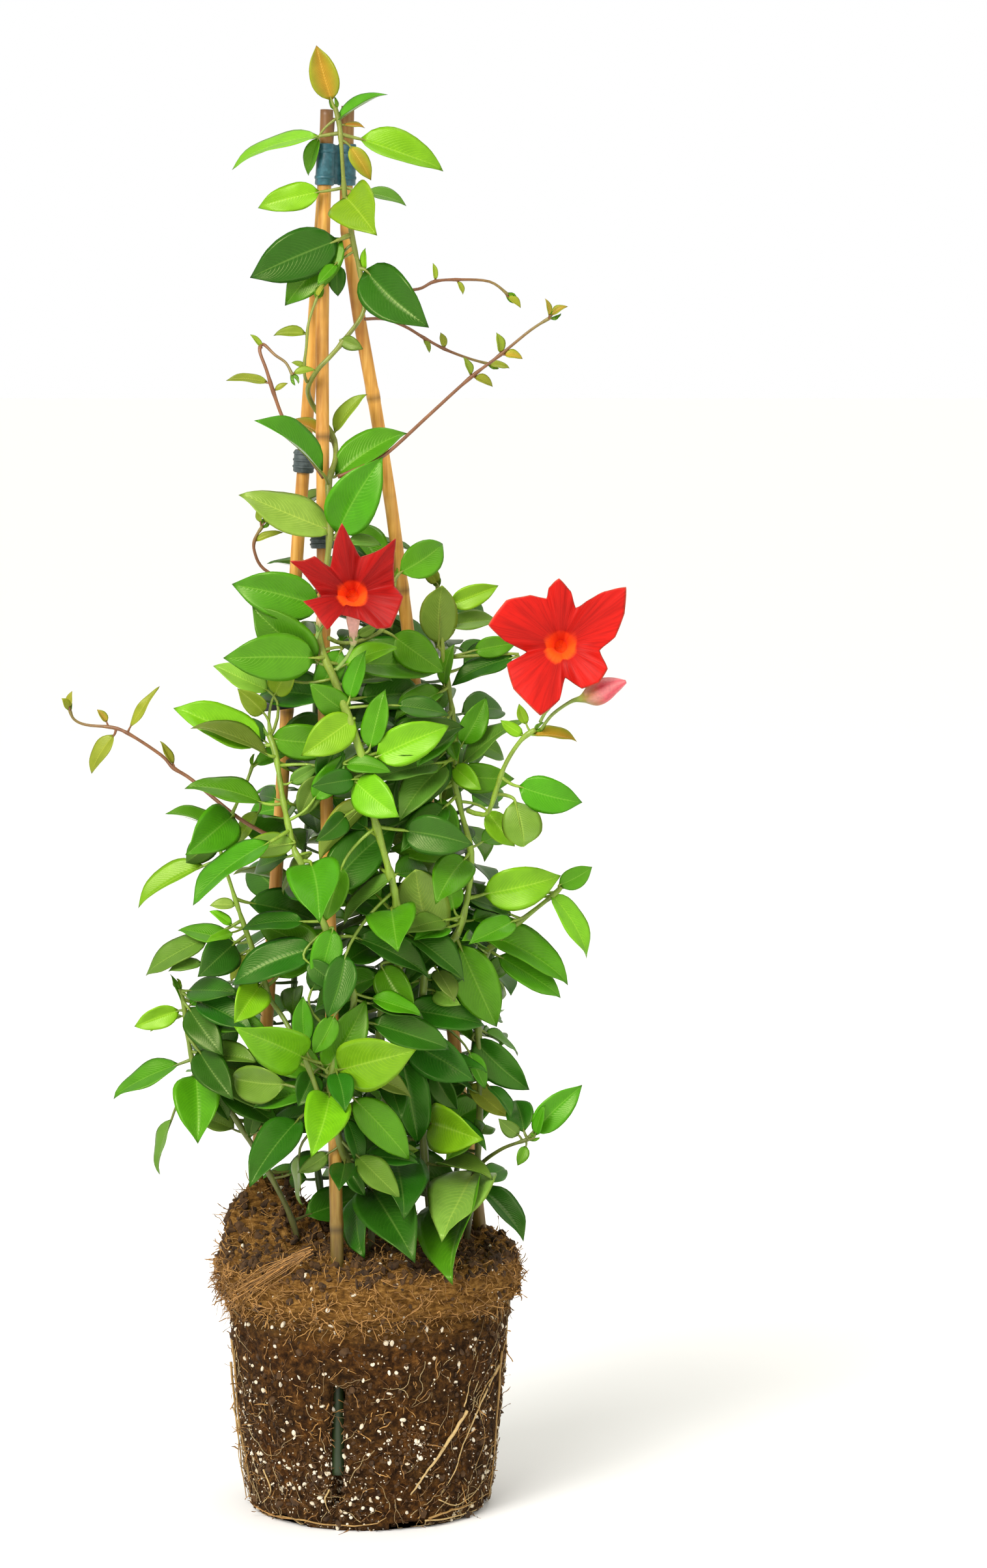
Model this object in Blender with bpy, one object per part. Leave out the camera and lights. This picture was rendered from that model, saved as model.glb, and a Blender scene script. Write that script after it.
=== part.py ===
"""A mandevilla standing on its bare root ball, trained up three bamboo canes, with two red blooms.

Lengths in the tables are millimetres and MM turns them into metres. X runs to the right as the
plant is faced, Y away from the viewer and Z up, from the middle of the root ball's flat base.
A point of the plant is given as (x, z, y): x and z as they are seen from the front on the plane
of the plant's axis, then the depth y, below zero towards the viewer. seen() makes a point of it.
"""

import math
import random

import bmesh
import bpy
from mathutils import Vector
from mathutils.bvhtree import BVHTree
from mathutils.kdtree import KDTree

MM = 0.001

# Where the plant is seen from
EYE = Vector((68, -2620, 719))

# Root ball, with the shape of a 17 cm pot
BALL_PROFILE = ((64, 0), (66.5, 3), (69, 22), (72.5, 56), (75, 90), (77.5, 117), (82, 120), (82.5, 132), (79, 142))
SOIL_RINGS = (62, 42, 20)
SOIL_HEIGHT = 143
BALL_SIDES = 32
MOUNDS = ((-50, 22, 26, 19), (-72, 18, 12, 12), (12, 0, 4, 20), (40, 30, 5, 18), (-10, -40, 3, 16))
NOTCH_ANGLES = (-70, -10, 50, 110, 170, 230)
NOTCH_SIZE = (21, 18, 4.5)
SLOT = (-16.3, 6.4, 9, 76)

# Bamboo canes, (x, z, y) from the top down
CANE_RADIUS = 3.6
CANE_SIDES = 10
PLAY = 0.35
CANES = {
    "front": ((-20.5, 759, -7), (-22.4, 700, -11.4), (-23.5, 640, -16), (-23.5, 450, -31), (-19, 230, -47),
              (-17.5, 142, -54), (-17, 14, -64)),
    "left": ((-19.5, 755, 5), (-34, 566, 9), (-36.6, 535, 10), (-61, 185, 19), (-64, 142, 20), (-66, 108, 21)),
    "right": ((-9.3, 761, 1), (-10.7, 700, 2.5), (-4, 650, 4.5), (5, 600, 7), (13, 550, 9), (25, 458, 13),
              (49.6, 230, 22), (56.6, 190, 24), (62, 142, 26), (65, 106, 27)),
}

# Clip and ties: (cane, lowest, highest, radius) and the loop (x, z, y, half width, half depth)
CLIP = (719, 741, 4.9)
TIES = {
    "tie_left": ("left", 566, 578, 5.6),
    "tie_front": ("front", 525, 533, 6.6),
}
LOOP = (-48.5, 441.5, 12, 13, 10)
LOOP_RADIUS = 1.6

# Leaves
BLADE_THICKNESS = 1.3
PETIOLE_RADIUS = 0.8
SHORTEST = 2.6
LEAF_ROWS = ((0.10, 0.68), (0.36, 1.0), (0.66, 0.86), (0.88, 0.40))
SMALL_LEAF_ROWS = ((0.16, 0.78), (0.50, 1.0), (0.82, 0.52))
TINY_LEAF_ROWS = ((0.25, 1.0), (0.70, 0.80))
SMALL_LEAF = 44
TINY_LEAF = 15
ARCH = 0.10
SPARE = 1.2
SHIFTS = (0, -7, 7, -14, 14, -22, 22, -30, 30, -40, 40)
SIZES = (1.0, 0.86, 0.72)
FLAT = 0.5
HAIR = 0.08
SMOOTH_BELOW = 40
CORNER_GAP = 0.001
TRIES = 8

# Stems: thickness at the foot and the end, what each grows from, then its route
STEMS = {
    "stem_front": (2.0, 1.2, None, (
        (1, 118, -27), (1.5, 150, -28), (2, 174.6, -32), (-3.5, 184, -40), (-11.5, 189.5, -50), (-17, 205, -58),
        (-21, 227, -58), (-16, 255, -57), (-7.7, 278, -56), (-14.6, 298.5, -57), (-24.5, 322, -57),
        (-35.7, 353, -56), (-40, 362, -54), (-45.5, 387, -49), (-49.5, 412.7, -42), (-53, 424, -38))),
    "stem_center": (2.1, 1.0, None, (
        (18, 118, -6), (17, 150, -8), (14, 190, -14), (8, 230, -22), (6.7, 271, -32), (15.5, 285, -38),
        (17, 310, -44), (15, 335, -48), (11, 352, -50), (6, 370, -51), (1, 388.5, -51), (-1.2, 406.6, -51),
        (-12, 438.6, -49), (-18, 455, -47), (-25.4, 474, -43), (-24, 500, -40), (-20, 530, -37),
        (-20.4, 559, -33), (-16.5, 574, -22), (-18, 585, -11), (-24, 595, -8), (-30, 604.6, -13),
        (-31, 612, -21), (-26, 621, -28), (-19.3, 628, -28), (-11.6, 637, -25), (-1, 653, -20),
        (-2.8, 671.5, -18), (-6.5, 688, -17), (-11, 713, -17), (-12.7, 738, -18), (-14, 752, -16),
        (-16, 760, -15))),
    "stem_middle": (1.9, 1.0, None, (
        (36, 118, -4), (34, 150, -6), (30, 200, -12), (28, 250, -20), (30, 285, -26), (32.4, 301, -28),
        (42, 309, -28), (49, 316, -28), (54, 335, -26), (56, 360, -24), (50, 385, -22), (47, 400, -22),
        (48, 412, -20), (47, 430, -16), (44, 450, -12), (41, 470, -10), (40, 490, -8), (38, 505, -6))),
    "stem_right": (1.9, 1.0, None, (
        (52, 118, 2), (54, 150, 0), (59, 184, -4), (61, 230, -8), (60, 270, -10), (64, 302.6, -12),
        (71, 311, -14), (79, 319, -16), (100, 336, -18), (105, 341, -18))),
    "stem_low_left": (1.7, 0.9, None, (
        (-38, 118, -8), (-40, 150, -8), (-54, 182, -11), (-72, 212, -14), (-85, 232, -17), (-94, 240, -19),
        (-98, 256, -20), (-100.5, 277, -20), (-103, 285, -20))),
    "shoot_left": (1.5, 0.8, "stem_front", (
        (-19, 216, -58), (-26, 224, -66), (-34.5, 246, -62), (-45.4, 267.5, -48), (-53, 279, -44),
        (-57, 291, -42), (-62.8, 307, -40), (-69.7, 327, -38), (-75.6, 346, -36), (-79, 356, -34),
        (-78.5, 369, -32), (-66, 397, -28), (-62, 408, -26))),
    "vine_far_left": (1.2, 0.7, "stem_front", (
        (-41, 364, -53), (-50, 368, -44), (-59, 372, -36), (-73, 381, -28), (-95, 399.5, -20), (-105, 406, -18),
        (-111.6, 413, -16), (-128, 424, -14), (-137.5, 428, -12), (-152, 429.5, -10), (-158.6, 432.6, -10),
        (-161, 438, -10))),
    "shoot_low_right": (1.2, 0.8, "stem_right", (
        (59, 186, -4), (66, 192, -12), (74, 197, -18), (82, 200, -22), (88, 202, -24))),
    "shoot_flower_right": (1.4, 1.1, "stem_middle", (
        (51, 384, -22), (60, 381, -28), (66, 383, -32), (73.8, 406, -38), (83, 421, -42), (91, 427, -43))),
    "shoot_middle": (1.2, 0.9, "stem_center", (
        (-24, 478, -43), (-14, 474, -36), (-4, 475, -32), (8, 481, -28), (14, 494, -26), (15, 509, -24))),
    "vine_top_left": (0.9, 0.7, "stem_center", (
        (-31, 612, -21), (-33, 618, -27), (-33, 625, -29), (-32, 633, -29), (-30.7, 646, -28), (-26, 660, -26))),
    "vine_curly": (1.1, 0.7, "stem_center", (
        (-21, 560, -33), (-30, 573, -37), (-38, 584, -37), (-44.7, 595, -36), (-49.8, 609, -34),
        (-53.5, 621, -32), (-57, 631, -29), (-55, 634.5, -26), (-49, 629, -29), (-43, 624.6, -33),
        (-39.5, 618, -36))),
    "vine_left": (1.0, 0.7, "stem_center", (
        (-24, 500, -40), (-40, 506, -30), (-55.5, 514, -28), (-60.5, 523.6, -28), (-60, 530.5, -28),
        (-56, 537, -28))),
    "vine_right": (1.1, 0.7, "stem_center", (
        (-19, 562, -33), (0, 570, -31), (12, 577, -26), (34, 597, -18), (55, 616, -12), (72, 629, -9),
        (88, 642, -7), (99, 649, -6))),
    "vine_right_low": (0.9, 0.7, "stem_center", (
        (-4, 648, -21), (10, 648, -14), (21, 644, -9), (31, 638, -5), (42, 632, -1), (55, 627, 3), (66, 624, 5))),
    "vine_right_top": (0.9, 0.7, "stem_center", (
        (-3, 671, -18), (15, 664, -16), (28, 664, -14), (36.6, 668, -13), (48, 669, -12), (66, 668, -10),
        (76, 661, -9))),
    "stem_back_left": (1.8, 1.0, None, (
        (-22, 118, 26), (-24, 150, 28), (-30, 200, 36), (-40, 260, 40), (-38, 330, 38), (-30, 400, 34),
        (-26, 470, 30), (-16, 530, 26), (-12, 575, 24))),
    "stem_back_middle": (1.8, 1.0, None, (
        (8, 118, 34), (8, 150, 38), (4, 220, 48), (10, 300, 54), (6, 380, 50), (2, 450, 42), (0, 500, 36))),
    "stem_back_right": (1.8, 1.0, None, (
        (40, 118, 44), (42, 150, 46), (54, 220, 54), (60, 290, 54), (54, 360, 48), (44, 430, 40), (40, 480, 36))),
}

# Leaves: x and z of the blade's base, x and z of its tip, its width as seen, then how it is held.
# The first letter is its colour: b bright, m middle, d dark, o olive, z bronze, p pale, g grey.
# "u" shows the underside, "<" points away, "=" stays level in depth, a number is the tip's depth.
LEAVES = {
    "stem_front": (
        (-21, 227, -31, 193, 26, "b"), (-8, 224.5, 22.7, 190, 20, "m"), (-23, 240, -1, 279, 22, "m"),
        (-17, 240, 25, 250.7, 30, "b"), (-35, 247, -72, 263, 27, "b"), (-34.5, 255, -35.5, 281, 12, "m"),
        (-45, 232, -75, 236, 22, "g<"), (-38, 213, -65.5, 176, 20, "d", -88), (-30, 238, -38.5, 220, 16, "d"),
        (-17, 238, -3, 225, 9, "d"), (-28.5, 307.5, -75, 287.5, 19, "d<"), (-35, 322, -69, 318.5, 9, "d<"),
        (-30.7, 354, -26.5, 322.5, 30, "b"), (-31, 359, -47, 336.5, 6, "g"), (-40, 365, -70, 360, 14, "ou"),
        (-53, 365.5, -96, 332.5, 12, "m"), (-57, 387, -99, 396, 11, "m"), (-57.5, 419, -104.6, 439.5, 20, "b"),
        (-53.5, 413, -95, 429, 8, "g<"), (-52, 422, -10, 420, 20, "m"), (-42, 398, -26, 408, 9, "g"),
        (-6, 313, 34.5, 291, 14, "d"), (-22, 194, -39, 183, 9, "g"), (-38, 193, -37, 164, 5, "g"),
        (0.7, 175, 24.6, 135, 29, "d", -92), (-5.7, 172, -3.6, 136, 17, "d", -98),
        (-12, 213, -4, 184, 10, "d"), (-10, 184, -2, 170, 10, "d"), (-50, 446, -39, 464, 14, "o"),
        (-56, 436, -70, 449, 12, "o"), (-53.5, 448, -83, 462, 13, "p")),
    "stem_center": (
        (-18, 764, -26, 793, 16, "z"), (-15, 753, 11.5, 768, 5, "m"), (-11.5, 751, 0, 749.6, 3, "z"),
        (-24.5, 745, -72, 729, 8, "b"), (-3, 743.6, 42, 727.6, 17, "b"), (-8, 739.5, 3, 721.6, 10, "z"),
        (-25, 744, -31, 724, 8, "m<"), (-24.5, 715.6, -57.7, 707.4, 15, "b"), (-10.7, 713, 5, 693.6, 28, "b"),
        (0, 715, 22, 708.7, 7, "g<"), (-13, 691, -43.5, 655, 22, "m"), (-15, 690, -62, 670, 27, "d<"),
        (-15, 677, -15, 660, 10, "d"), (-16, 677.5, -26, 666.5, 7, "m"), (-0.4, 674, -0.4, 686, 4, "b"),
        (0, 674, 33, 644, 28, "d"), (-13.6, 637, -1.7, 632, 8, "g"), (-24.2, 566, -58.6, 595, 10, "m<"),
        (-16.5, 564, 22, 588, 17, "b"), (-19.8, 583, -42.7, 594.7, 6, "z<"), (-17, 587.6, 0, 608.5, 8, "o<"),
        (-18.5, 534, -68.5, 555, 20, "p"), (-16, 533, 8.5, 574, 28, "b"), (-10, 529, 8, 527, 7, "g"),
        (-25, 494, -73, 505.7, 26, "m"), (-27, 464, -62, 494, 26, "m"), (-28, 466, -77.5, 465.6, 26, "m"),
        (-44, 455, -64, 463, 9, "d"), (-12, 462, 17, 472, 10, "b"), (-9.5, 444, -1, 470, 11, "m"),
        (-7, 433, -35.7, 412.7, 21, "b"), (16.4, 440, 44.7, 435, 11, "d"), (1.4, 417, 9.6, 449, 14, "m"),
        (5, 412, 44.5, 429, 22, "b"), (-7, 399, 16.6, 379.5, 22, "b"), (-12, 408, 13, 404, 9, "m"),
        (1, 389, -27, 356, 15, "ou"), (20, 372, 57, 364, 22, "d"), (12.8, 329, 16, 306.5, 28, "m"),
        (14.8, 347, -14.5, 320.5, 7, "g"), (7.5, 297, 25, 270, 20, "m"), (7, 264, 34, 259, 15, "b"),
        (13, 194, 19.7, 159.4, 28, "d", -84), (18.5, 246, 27.3, 198.5, 21, "d"), (-7, 400, -30, 396, 14, "d"),
        (-36, 471, -25, 479, 5, "z")),
    "stem_middle": (
        (33, 211, 61.4, 201.4, 28, "b"), (35, 240, 48.5, 218, 14, "d"), (21.5, 256, 57.7, 234, 25, "d"),
        (55, 250, 64, 229.5, 9, "m"), (36, 284, 50, 276, 12, "p"), (34, 290, 51, 290, 12, "d"),
        (50, 309, 70, 263.5, 26, "m"), (35.5, 307.5, 25.6, 352, 30, "pu"), (47, 328, 41, 352, 14, "m"),
        (44, 358, 11.4, 362.5, 12, "m"), (63, 337, 105, 347, 24, "b"), (39.5, 389.5, 45.4, 360, 14, "m"),
        (42, 415, 13, 381, 27, "d"), (65, 382.5, 79.8, 363, 14, "b"), (47, 402, 79.7, 400, 17, "m"),
        (46.6, 407, 61.6, 394, 12, "b"), (51, 407.7, 84, 433, 9, "g<"), (46, 420, 48.5, 410, 9, "m"),
        (51.3, 419, 64.4, 444.6, 15, "m<"), (79, 466, 45, 451.6, 11, "d"), (41.6, 451, 47, 473.8, 8, "m"),
        (38.6, 473, 40.6, 506, 21, "ou"), (45, 495, 71, 505, 13, "b"), (43, 483, 72, 486, 10, "g<"),
        (58, 470, 81, 474, 12, "m<"), (38, 506, 30, 517, 8, "o")),
    "stem_right": (
        (57.4, 257, 88, 228.7, 20, "d"), (54.8, 232, 76.7, 214, 12, "o"), (63.5, 315.5, 109.7, 288, 17, "m"),
        (71, 303, 105.5, 280.6, 14, "m<"), (99.6, 337, 120, 302, 12, "b"), (104, 342, 122, 352, 12, "m<"),
        (58, 184, 39.6, 147.5, 26, "p", -78), (58.4, 175, 43.3, 123.5, 22, "m", -104),
        (60.5, 175, 85.3, 146, 11, "d", -60)),
    "stem_low_left": (
        (-59.5, 224, -65, 202, 11, "d"), (-94, 237.5, -93.5, 200, 27, "m"), (-92, 236, -76, 212, 12, "d<"),
        (-107.5, 213, -115.5, 182, 6, "g"), (-103, 243.5, -140, 225, 10, "m"), (-91, 240, -80, 235, 9, "m"),
        (-70.5, 265, -97, 251.5, 20, "d<"), (-103, 273, -127.6, 264, 13, "b"), (-101, 270, -119, 262, 7, "pu"),
        (-100.5, 277, -107.5, 293.5, 3, "m="), (-97, 276, -82, 287, 8, "m"), (-97, 267, -95, 256, 5, "m")),
    "shoot_left": (
        (-58.7, 287, -72.6, 266.5, 20, "b"), (-72.5, 310, -92, 292, 22, "d"), (-73, 311, -103.5, 318, 9, "m"),
        (-87, 313, -122, 293, 12, "g"), (-90, 299, -109, 295, 6, "g<"), (-74, 320, -86, 328, 5, "b="),
        (-74, 316, -88, 311, 5, "b="), (-72, 331, -86, 331, 6, "p="), (-66, 304, -75, 289, 7, "o"),
        (-89, 352.6, -125.7, 330.4, 10, "b"), (-73, 380, -98, 359, 25, "m"), (-80, 368, -99, 354, 15, "du"),
        (-80, 372, -109.5, 382, 6, "m<"), (-59, 382, -72.5, 362, 8, "o"), (-60, 408, -38, 418, 9, "m<")),
    "vine_far_left": (
        (-128.4, 428, -112.7, 451, 5, "m="), (-137, 424, -150, 403, 9, "m"), (-141, 431, -146, 438, 4, "z="),
        (-161, 439, -159.6, 448, 4, "b="), (-161, 439, -165, 444, 4, "b="), (-105, 408, -112, 421, 4, "m=")),
    "shoot_low_right": (
        (90, 206, 116.8, 231.7, 17, "m"), (85, 206, 80, 224, 16, "d<"), (82, 204, 71, 213, 9, "g"),
        (86, 198, 81.4, 187, 7, "m"), (91, 204, 96, 220.7, 6, "m")),
    "shoot_flower_right": (
        (80, 388, 85, 362, 22, "ou"), (82, 396, 116.5, 387, 20, "m"), (84, 424, 72, 432, 7, "b"),
        (90, 424, 113.6, 421, 6, "z"), (86, 430, 82, 441, 6, "b<")),
    "shoot_middle": (
        (14, 478, 41.5, 458, 20, "m"), (18, 512, 41.6, 528, 20, "m<"), (-5, 478, 6, 484, 6, "g<")),
    "vine_top_left": (
        (-32, 640, -49.7, 639.5, 6, "m="), (-33, 623, -40, 625, 3, "m="), (-26, 660, -22, 667, 3, "b=")),
    "vine_curly": (
        (-39, 619, -27, 621, 4, "m="), (-53, 614, -75.3, 615.6, 5, "m="), (-49, 610, -42, 614, 3, "m="),
        (-56, 633, -62, 640, 3, "b=")),
    "vine_left": (
        (-57, 539, -57, 549, 4, "m="), (-55, 539, -49, 544, 3, "m="), (-60, 529, -45, 534, 4, "m=")),
    "vine_right": (
        (56, 618, 52, 628, 4, "m="), (58, 617, 68, 612, 5, "m="), (72, 630, 70, 641, 5, "m="),
        (74, 629, 84, 627, 5, "z="), (99, 650, 108, 655, 4, "z="), (98, 650, 96, 659, 3, "z=")),
    "vine_right_low": (
        (42, 633, 40, 641, 4, "m="), (66, 624, 77, 622, 4, "m="), (31, 637, 34, 630, 3, "m=")),
    "vine_right_top": (
        (37, 669, 36, 678, 3, "b="), (76, 660, 83, 654, 4, "b="), (49, 668, 52, 661, 3, "b=")),
}

# Leaves behind grow in crossed pairs: stem, first and last as parts of its route, how many pairs,
# and how far they lean away from the viewer
PAIRS = (
    ("stem_front", 0.42, 0.96, 7, 0.35), ("stem_center", 0.10, 0.42, 10, 0.30), ("stem_middle", 0.12, 0.95, 9, 0.35),
    ("stem_right", 0.20, 0.80, 5, 0.35), ("shoot_left", 0.15, 0.85, 4, 0.30), ("stem_low_left", 0.15, 0.60, 3, 0.30),
    ("stem_back_left", 0.20, 0.80, 7, 0.60), ("stem_back_middle", 0.22, 0.98, 7, 1.0),
    ("stem_back_right", 0.20, 0.98, 7, 0.60),
)
PAIR_LENGTH = (42, 60)
PAIR_SEED = 12
PAIR_REACH = ((-72, 150), (78, 500))

# Blooms: throat, then the rim of the corolla as seen, counter-clockwise, with its depth
BLOOMS = {
    "flower_left": (
        (-8, 501, -72),
        ((19.6, 499, -82), (15, 505, -72), (14.6, 514, -75), (15, 522, -79), (15.8, 530.5, -83), (8, 525, -78),
         (-3.3, 520.5, -71), (-7.5, 528, -76), (-13.3, 538.8, -82), (-17.5, 529, -77), (-19.8, 515, -71),
         (-28, 521, -77), (-34, 518.5, -79), (-41.4, 518.4, -82), (-35.2, 512.5, -79), (-29, 505, -75),
         (-25, 499, -71), (-34.5, 496.6, -80), (-29, 491.5, -82), (-21.6, 481, -87), (-14, 489, -81),
         (-4, 486.5, -80), (5.4, 481.6, -86), (13, 482.5, -86), (16.5, 490, -84))),
    "flower_right": (
        (104.7, 473.7, -58),
        ((125.7, 470, -62), (134, 477, -64), (139, 490, -68), (139.8, 504.3, -70), (128, 502, -68),
         (119, 497, -62), (112.6, 493, -58), (110, 502, -60), (103.6, 509, -62), (98, 504, -60),
         (96.7, 498, -58), (88, 500, -62), (75, 497, -66), (65.4, 483.9, -68), (74, 475, -64),
         (86, 469, -58), (75.4, 462.4, -64), (79, 449, -70), (93.5, 434.6, -74), (104, 443, -68),
         (107, 455, -62), (116, 449, -68), (125.3, 452.5, -72), (130, 460, -68))),
}
BLOOM_ROWS = (0.16, 0.30, 0.62, 1.0)
PETAL_THICKNESS = 1.0
THROAT_DEPTH = 16

# Tubes under the blooms and the buds: (x, z, y, radius) from the calyx to the mouth
TUBES = {
    "flower_left_tube": ((-16.5, 459.5, -50, 0.9), (-11, 466, -54, 0.9), (-8, 472, -57, 1.0), (-7.5, 474, -58, 1.9),
                         (-7.5, 480, -59, 2.4), (-7.6, 487, -60, 3.6), (-8, 493, -61.5, 2.4)),
    "flower_right_tube": ((93.5, 431, -38, 0.9), (96, 436, -35, 1.0), (98, 440, -33.5, 1.9), (101, 449, -34, 2.4),
                          (103.5, 459, -36, 3.4), (104.5, 465, -37.5, 2.4)),
    "bud_right": ((94, 427, -44, 0.8), (100, 435, -48, 0.9), (109.8, 442, -52, 1.0), (116, 443.8, -56, 2.2),
                  (122, 446, -58, 6.0), (128, 448.6, -59, 6.4), (134, 451, -60, 4.2), (139.8, 453, -61, 0.9)),
    "buds_left": ((-27.5, 476, -50, 0.8), (-26, 481, -53, 1.4), (-25, 487, -55, 2.2), (-24, 493, -57, 0.8)),
}

# Surface: colour, roughness
LOOKS = {
    "root_ball": ((0.090, 0.052, 0.026), 0.95),
    "cane": ((0.560, 0.270, 0.080), 0.55),
    "clip": ((0.018, 0.090, 0.110), 0.45),
    "tie": ((0.030, 0.040, 0.042), 0.50),
    "leaf": ((0.070, 0.240, 0.020), 0.45),
    "vine": ((0.140, 0.260, 0.030), 0.50),
    "back_leaf": ((0.035, 0.130, 0.020), 0.50),
    "petal": ((0.480, 0.006, 0.010), 0.50),
    "tube": ((0.420, 0.300, 0.140), 0.50),
    "bud": ((0.620, 0.200, 0.190), 0.50),
}


def seen(x, z, y):
    """Point of the plant, in metres, from where it is seen and its depth"""
    t = (y - EYE.y) / -EYE.y
    return Vector((EYE.x + (x - EYE.x) * t, y, EYE.z + (z - EYE.z) * t)) * MM


def lerp(a, b, t):
    return a + (b - a) * t


# --- plain meshes ---

def loft(rings, close_start=True, close_end=True):
    """Closed mesh through rings of points, a single point ending it to a tip"""
    verts = []
    faces = []
    starts = []
    for ring in rings:
        starts.append(len(verts))
        verts.extend(ring)
    for i in range(len(rings) - 1):
        a, b = rings[i], rings[i + 1]
        sa, sb = starts[i], starts[i + 1]
        n = max(len(a), len(b))
        for k in range(n):
            k2 = (k + 1) % n
            if len(b) == 1:
                faces.append((sa + k, sa + k2, sb))
            elif len(a) == 1:
                faces.append((sa, sb + k2, sb + k))
            else:
                faces.append((sa + k, sa + k2, sb + k2, sb + k))
    if close_start and len(rings[0]) > 1:
        faces.append(tuple(reversed(range(len(rings[0])))))
    if close_end and len(rings[-1]) > 1:
        faces.append(tuple(starts[-1] + k for k in range(len(rings[-1]))))
    return verts, faces


def tube(points, radii, sides, tip=False):
    """Closed tube along points, its frame carried along without twist"""
    rings = []
    side = None
    for i, p in enumerate(points):
        before = points[max(i - 1, 0)]
        after = points[min(i + 1, len(points) - 1)]
        along = (after - before).normalized()
        if side is None:
            side = along.cross(Vector((0.1, 1, 0.05))).normalized()
        side = (side - along * side.dot(along)).normalized()
        other = along.cross(side)
        if tip and i == len(points) - 1:
            rings.append([p])
            continue
        ring = []
        for k in range(sides):
            a = 2 * math.pi * k / sides
            ring.append(p + (side * math.cos(a) + other * math.sin(a)) * radii[i])
        rings.append(ring)
    return loft(rings)


def tree_of(shape):
    return BVHTree.FromPolygons([tuple(v) for v in shape[0]], shape[1])


def bounds_of(shape):
    low = [min(v[i] for v in shape[0]) for i in range(3)]
    high = [max(v[i] for v in shape[0]) for i in range(3)]
    return low, high


def apart(a, b):
    return any(a[0][i] > b[1][i] or b[0][i] > a[1][i] for i in range(3))


# --- objects ---

def clear_scene():
    for thing in list(bpy.data.objects):
        bpy.data.objects.remove(thing, do_unlink=True)


def material(name, colour, roughness):
    made = bpy.data.materials.new(name)
    made.use_nodes = True
    shader = made.node_tree.nodes["Principled BSDF"]
    shader.inputs["Base Color"].default_value = (*colour, 1)
    shader.inputs["Roughness"].default_value = roughness
    return made


def new_object(name, shape, look=None, collection=None):
    mesh = bpy.data.meshes.new(name)
    mesh.from_pydata([tuple(v) for v in shape[0]], [], shape[1])
    made = bmesh.new()
    made.from_mesh(mesh)
    bmesh.ops.recalc_face_normals(made, faces=made.faces)
    bmesh.ops.triangulate(made, faces=made.faces)
    if made.calc_volume(signed=True) < 0:
        bmesh.ops.reverse_faces(made, faces=made.faces)
    made.to_mesh(mesh)
    made.free()
    thing = bpy.data.objects.new(name, mesh)
    (collection or bpy.context.scene.collection).objects.link(thing)
    if look:
        mesh.materials.append(material(name, *LOOKS[look]))
    mesh.shade_smooth()
    mesh.set_sharp_from_angle(angle=math.radians(SMOOTH_BELOW))
    return thing


def cut(thing, shapes, operation="DIFFERENCE", flatten=False, solver="EXACT"):
    """Join to a thing, or cut from it, all the shapes given at once"""
    if not shapes:
        return
    tools = bpy.data.collections.new("tools")
    bpy.context.scene.collection.children.link(tools)
    for i, shape in enumerate(shapes):
        new_object(f"tool_{i}", shape, None, tools)
    change = thing.modifiers.new("change", "BOOLEAN")
    change.operation = operation
    change.operand_type = "COLLECTION"
    change.collection = tools
    change.solver = solver
    view = bpy.context.evaluated_depsgraph_get()
    result = bpy.data.meshes.new_from_object(thing.evaluated_get(view))
    thing.modifiers.clear()
    old = thing.data
    kept = list(old.materials)
    thing.data = result
    result.materials.clear()
    for each in kept:
        result.materials.append(each)
    bpy.data.meshes.remove(old)
    for tool in list(tools.objects):
        bpy.data.objects.remove(tool, do_unlink=True)
    bpy.data.collections.remove(tools)
    keep_largest(thing.data, flatten)


def grow(name, shape, look, parts):
    """Join parts to a shape one after another, each shifted a hair where its edges would touch"""
    thing = new_object(name, shape, look)
    chance = random.Random(len(parts))
    for verts, faces in parts:
        before = thing.data.copy()
        for tries in range(TRIES):
            hair = Vector([chance.uniform(-1, 1) for axis in range(3)]) * HAIR * MM * tries
            cut(thing, [([v + hair for v in verts], faces)], "UNION", solver="MANIFOLD")
            if is_clean(thing.data):
                break
            thing.data = before.copy()
    before = thing.data.copy()
    keep_largest(thing.data, True)
    if not is_clean(thing.data):
        thing.data = before
    return thing


def is_clean(mesh):
    """Whether every edge joins two faces and no two corners meet"""
    made = bmesh.new()
    made.from_mesh(mesh)
    good = all(len(edge.link_faces) == 2 for edge in made.edges)
    good = good and all(edge.calc_length() > CORNER_GAP * MM for edge in made.edges)
    tree = KDTree(len(made.verts))
    for vert in made.verts:
        tree.insert(vert.co, vert.index)
    tree.balance()
    good = good and all(len(tree.find_range(vert.co, CORNER_GAP * MM)) == 1 for vert in made.verts)
    made.free()
    return good


def keep_largest(mesh, flatten):
    """Leave only the largest piece of a mesh, without slivers shut in or cut off"""
    made = bmesh.new()
    made.from_mesh(mesh)
    bmesh.ops.remove_doubles(made, verts=made.verts, dist=CORNER_GAP * MM * 2)
    bmesh.ops.dissolve_degenerate(made, edges=made.edges, dist=CORNER_GAP * MM)
    left = set(made.faces)
    pieces = []
    while left:
        start = left.pop()
        piece = [start]
        for face in piece:
            for edge in face.edges:
                for other in edge.link_faces:
                    if other in left:
                        left.discard(other)
                        piece.append(other)
        pieces.append(piece)
    pieces.sort(key=len)
    for piece in pieces[:-1]:
        bmesh.ops.delete(made, geom=piece, context="FACES")
    if flatten:
        bmesh.ops.dissolve_limit(made, angle_limit=math.radians(FLAT), verts=made.verts, edges=made.edges)
    bmesh.ops.triangulate(made, faces=made.faces)
    made.to_mesh(mesh)
    made.free()


# --- stems ---

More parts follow.
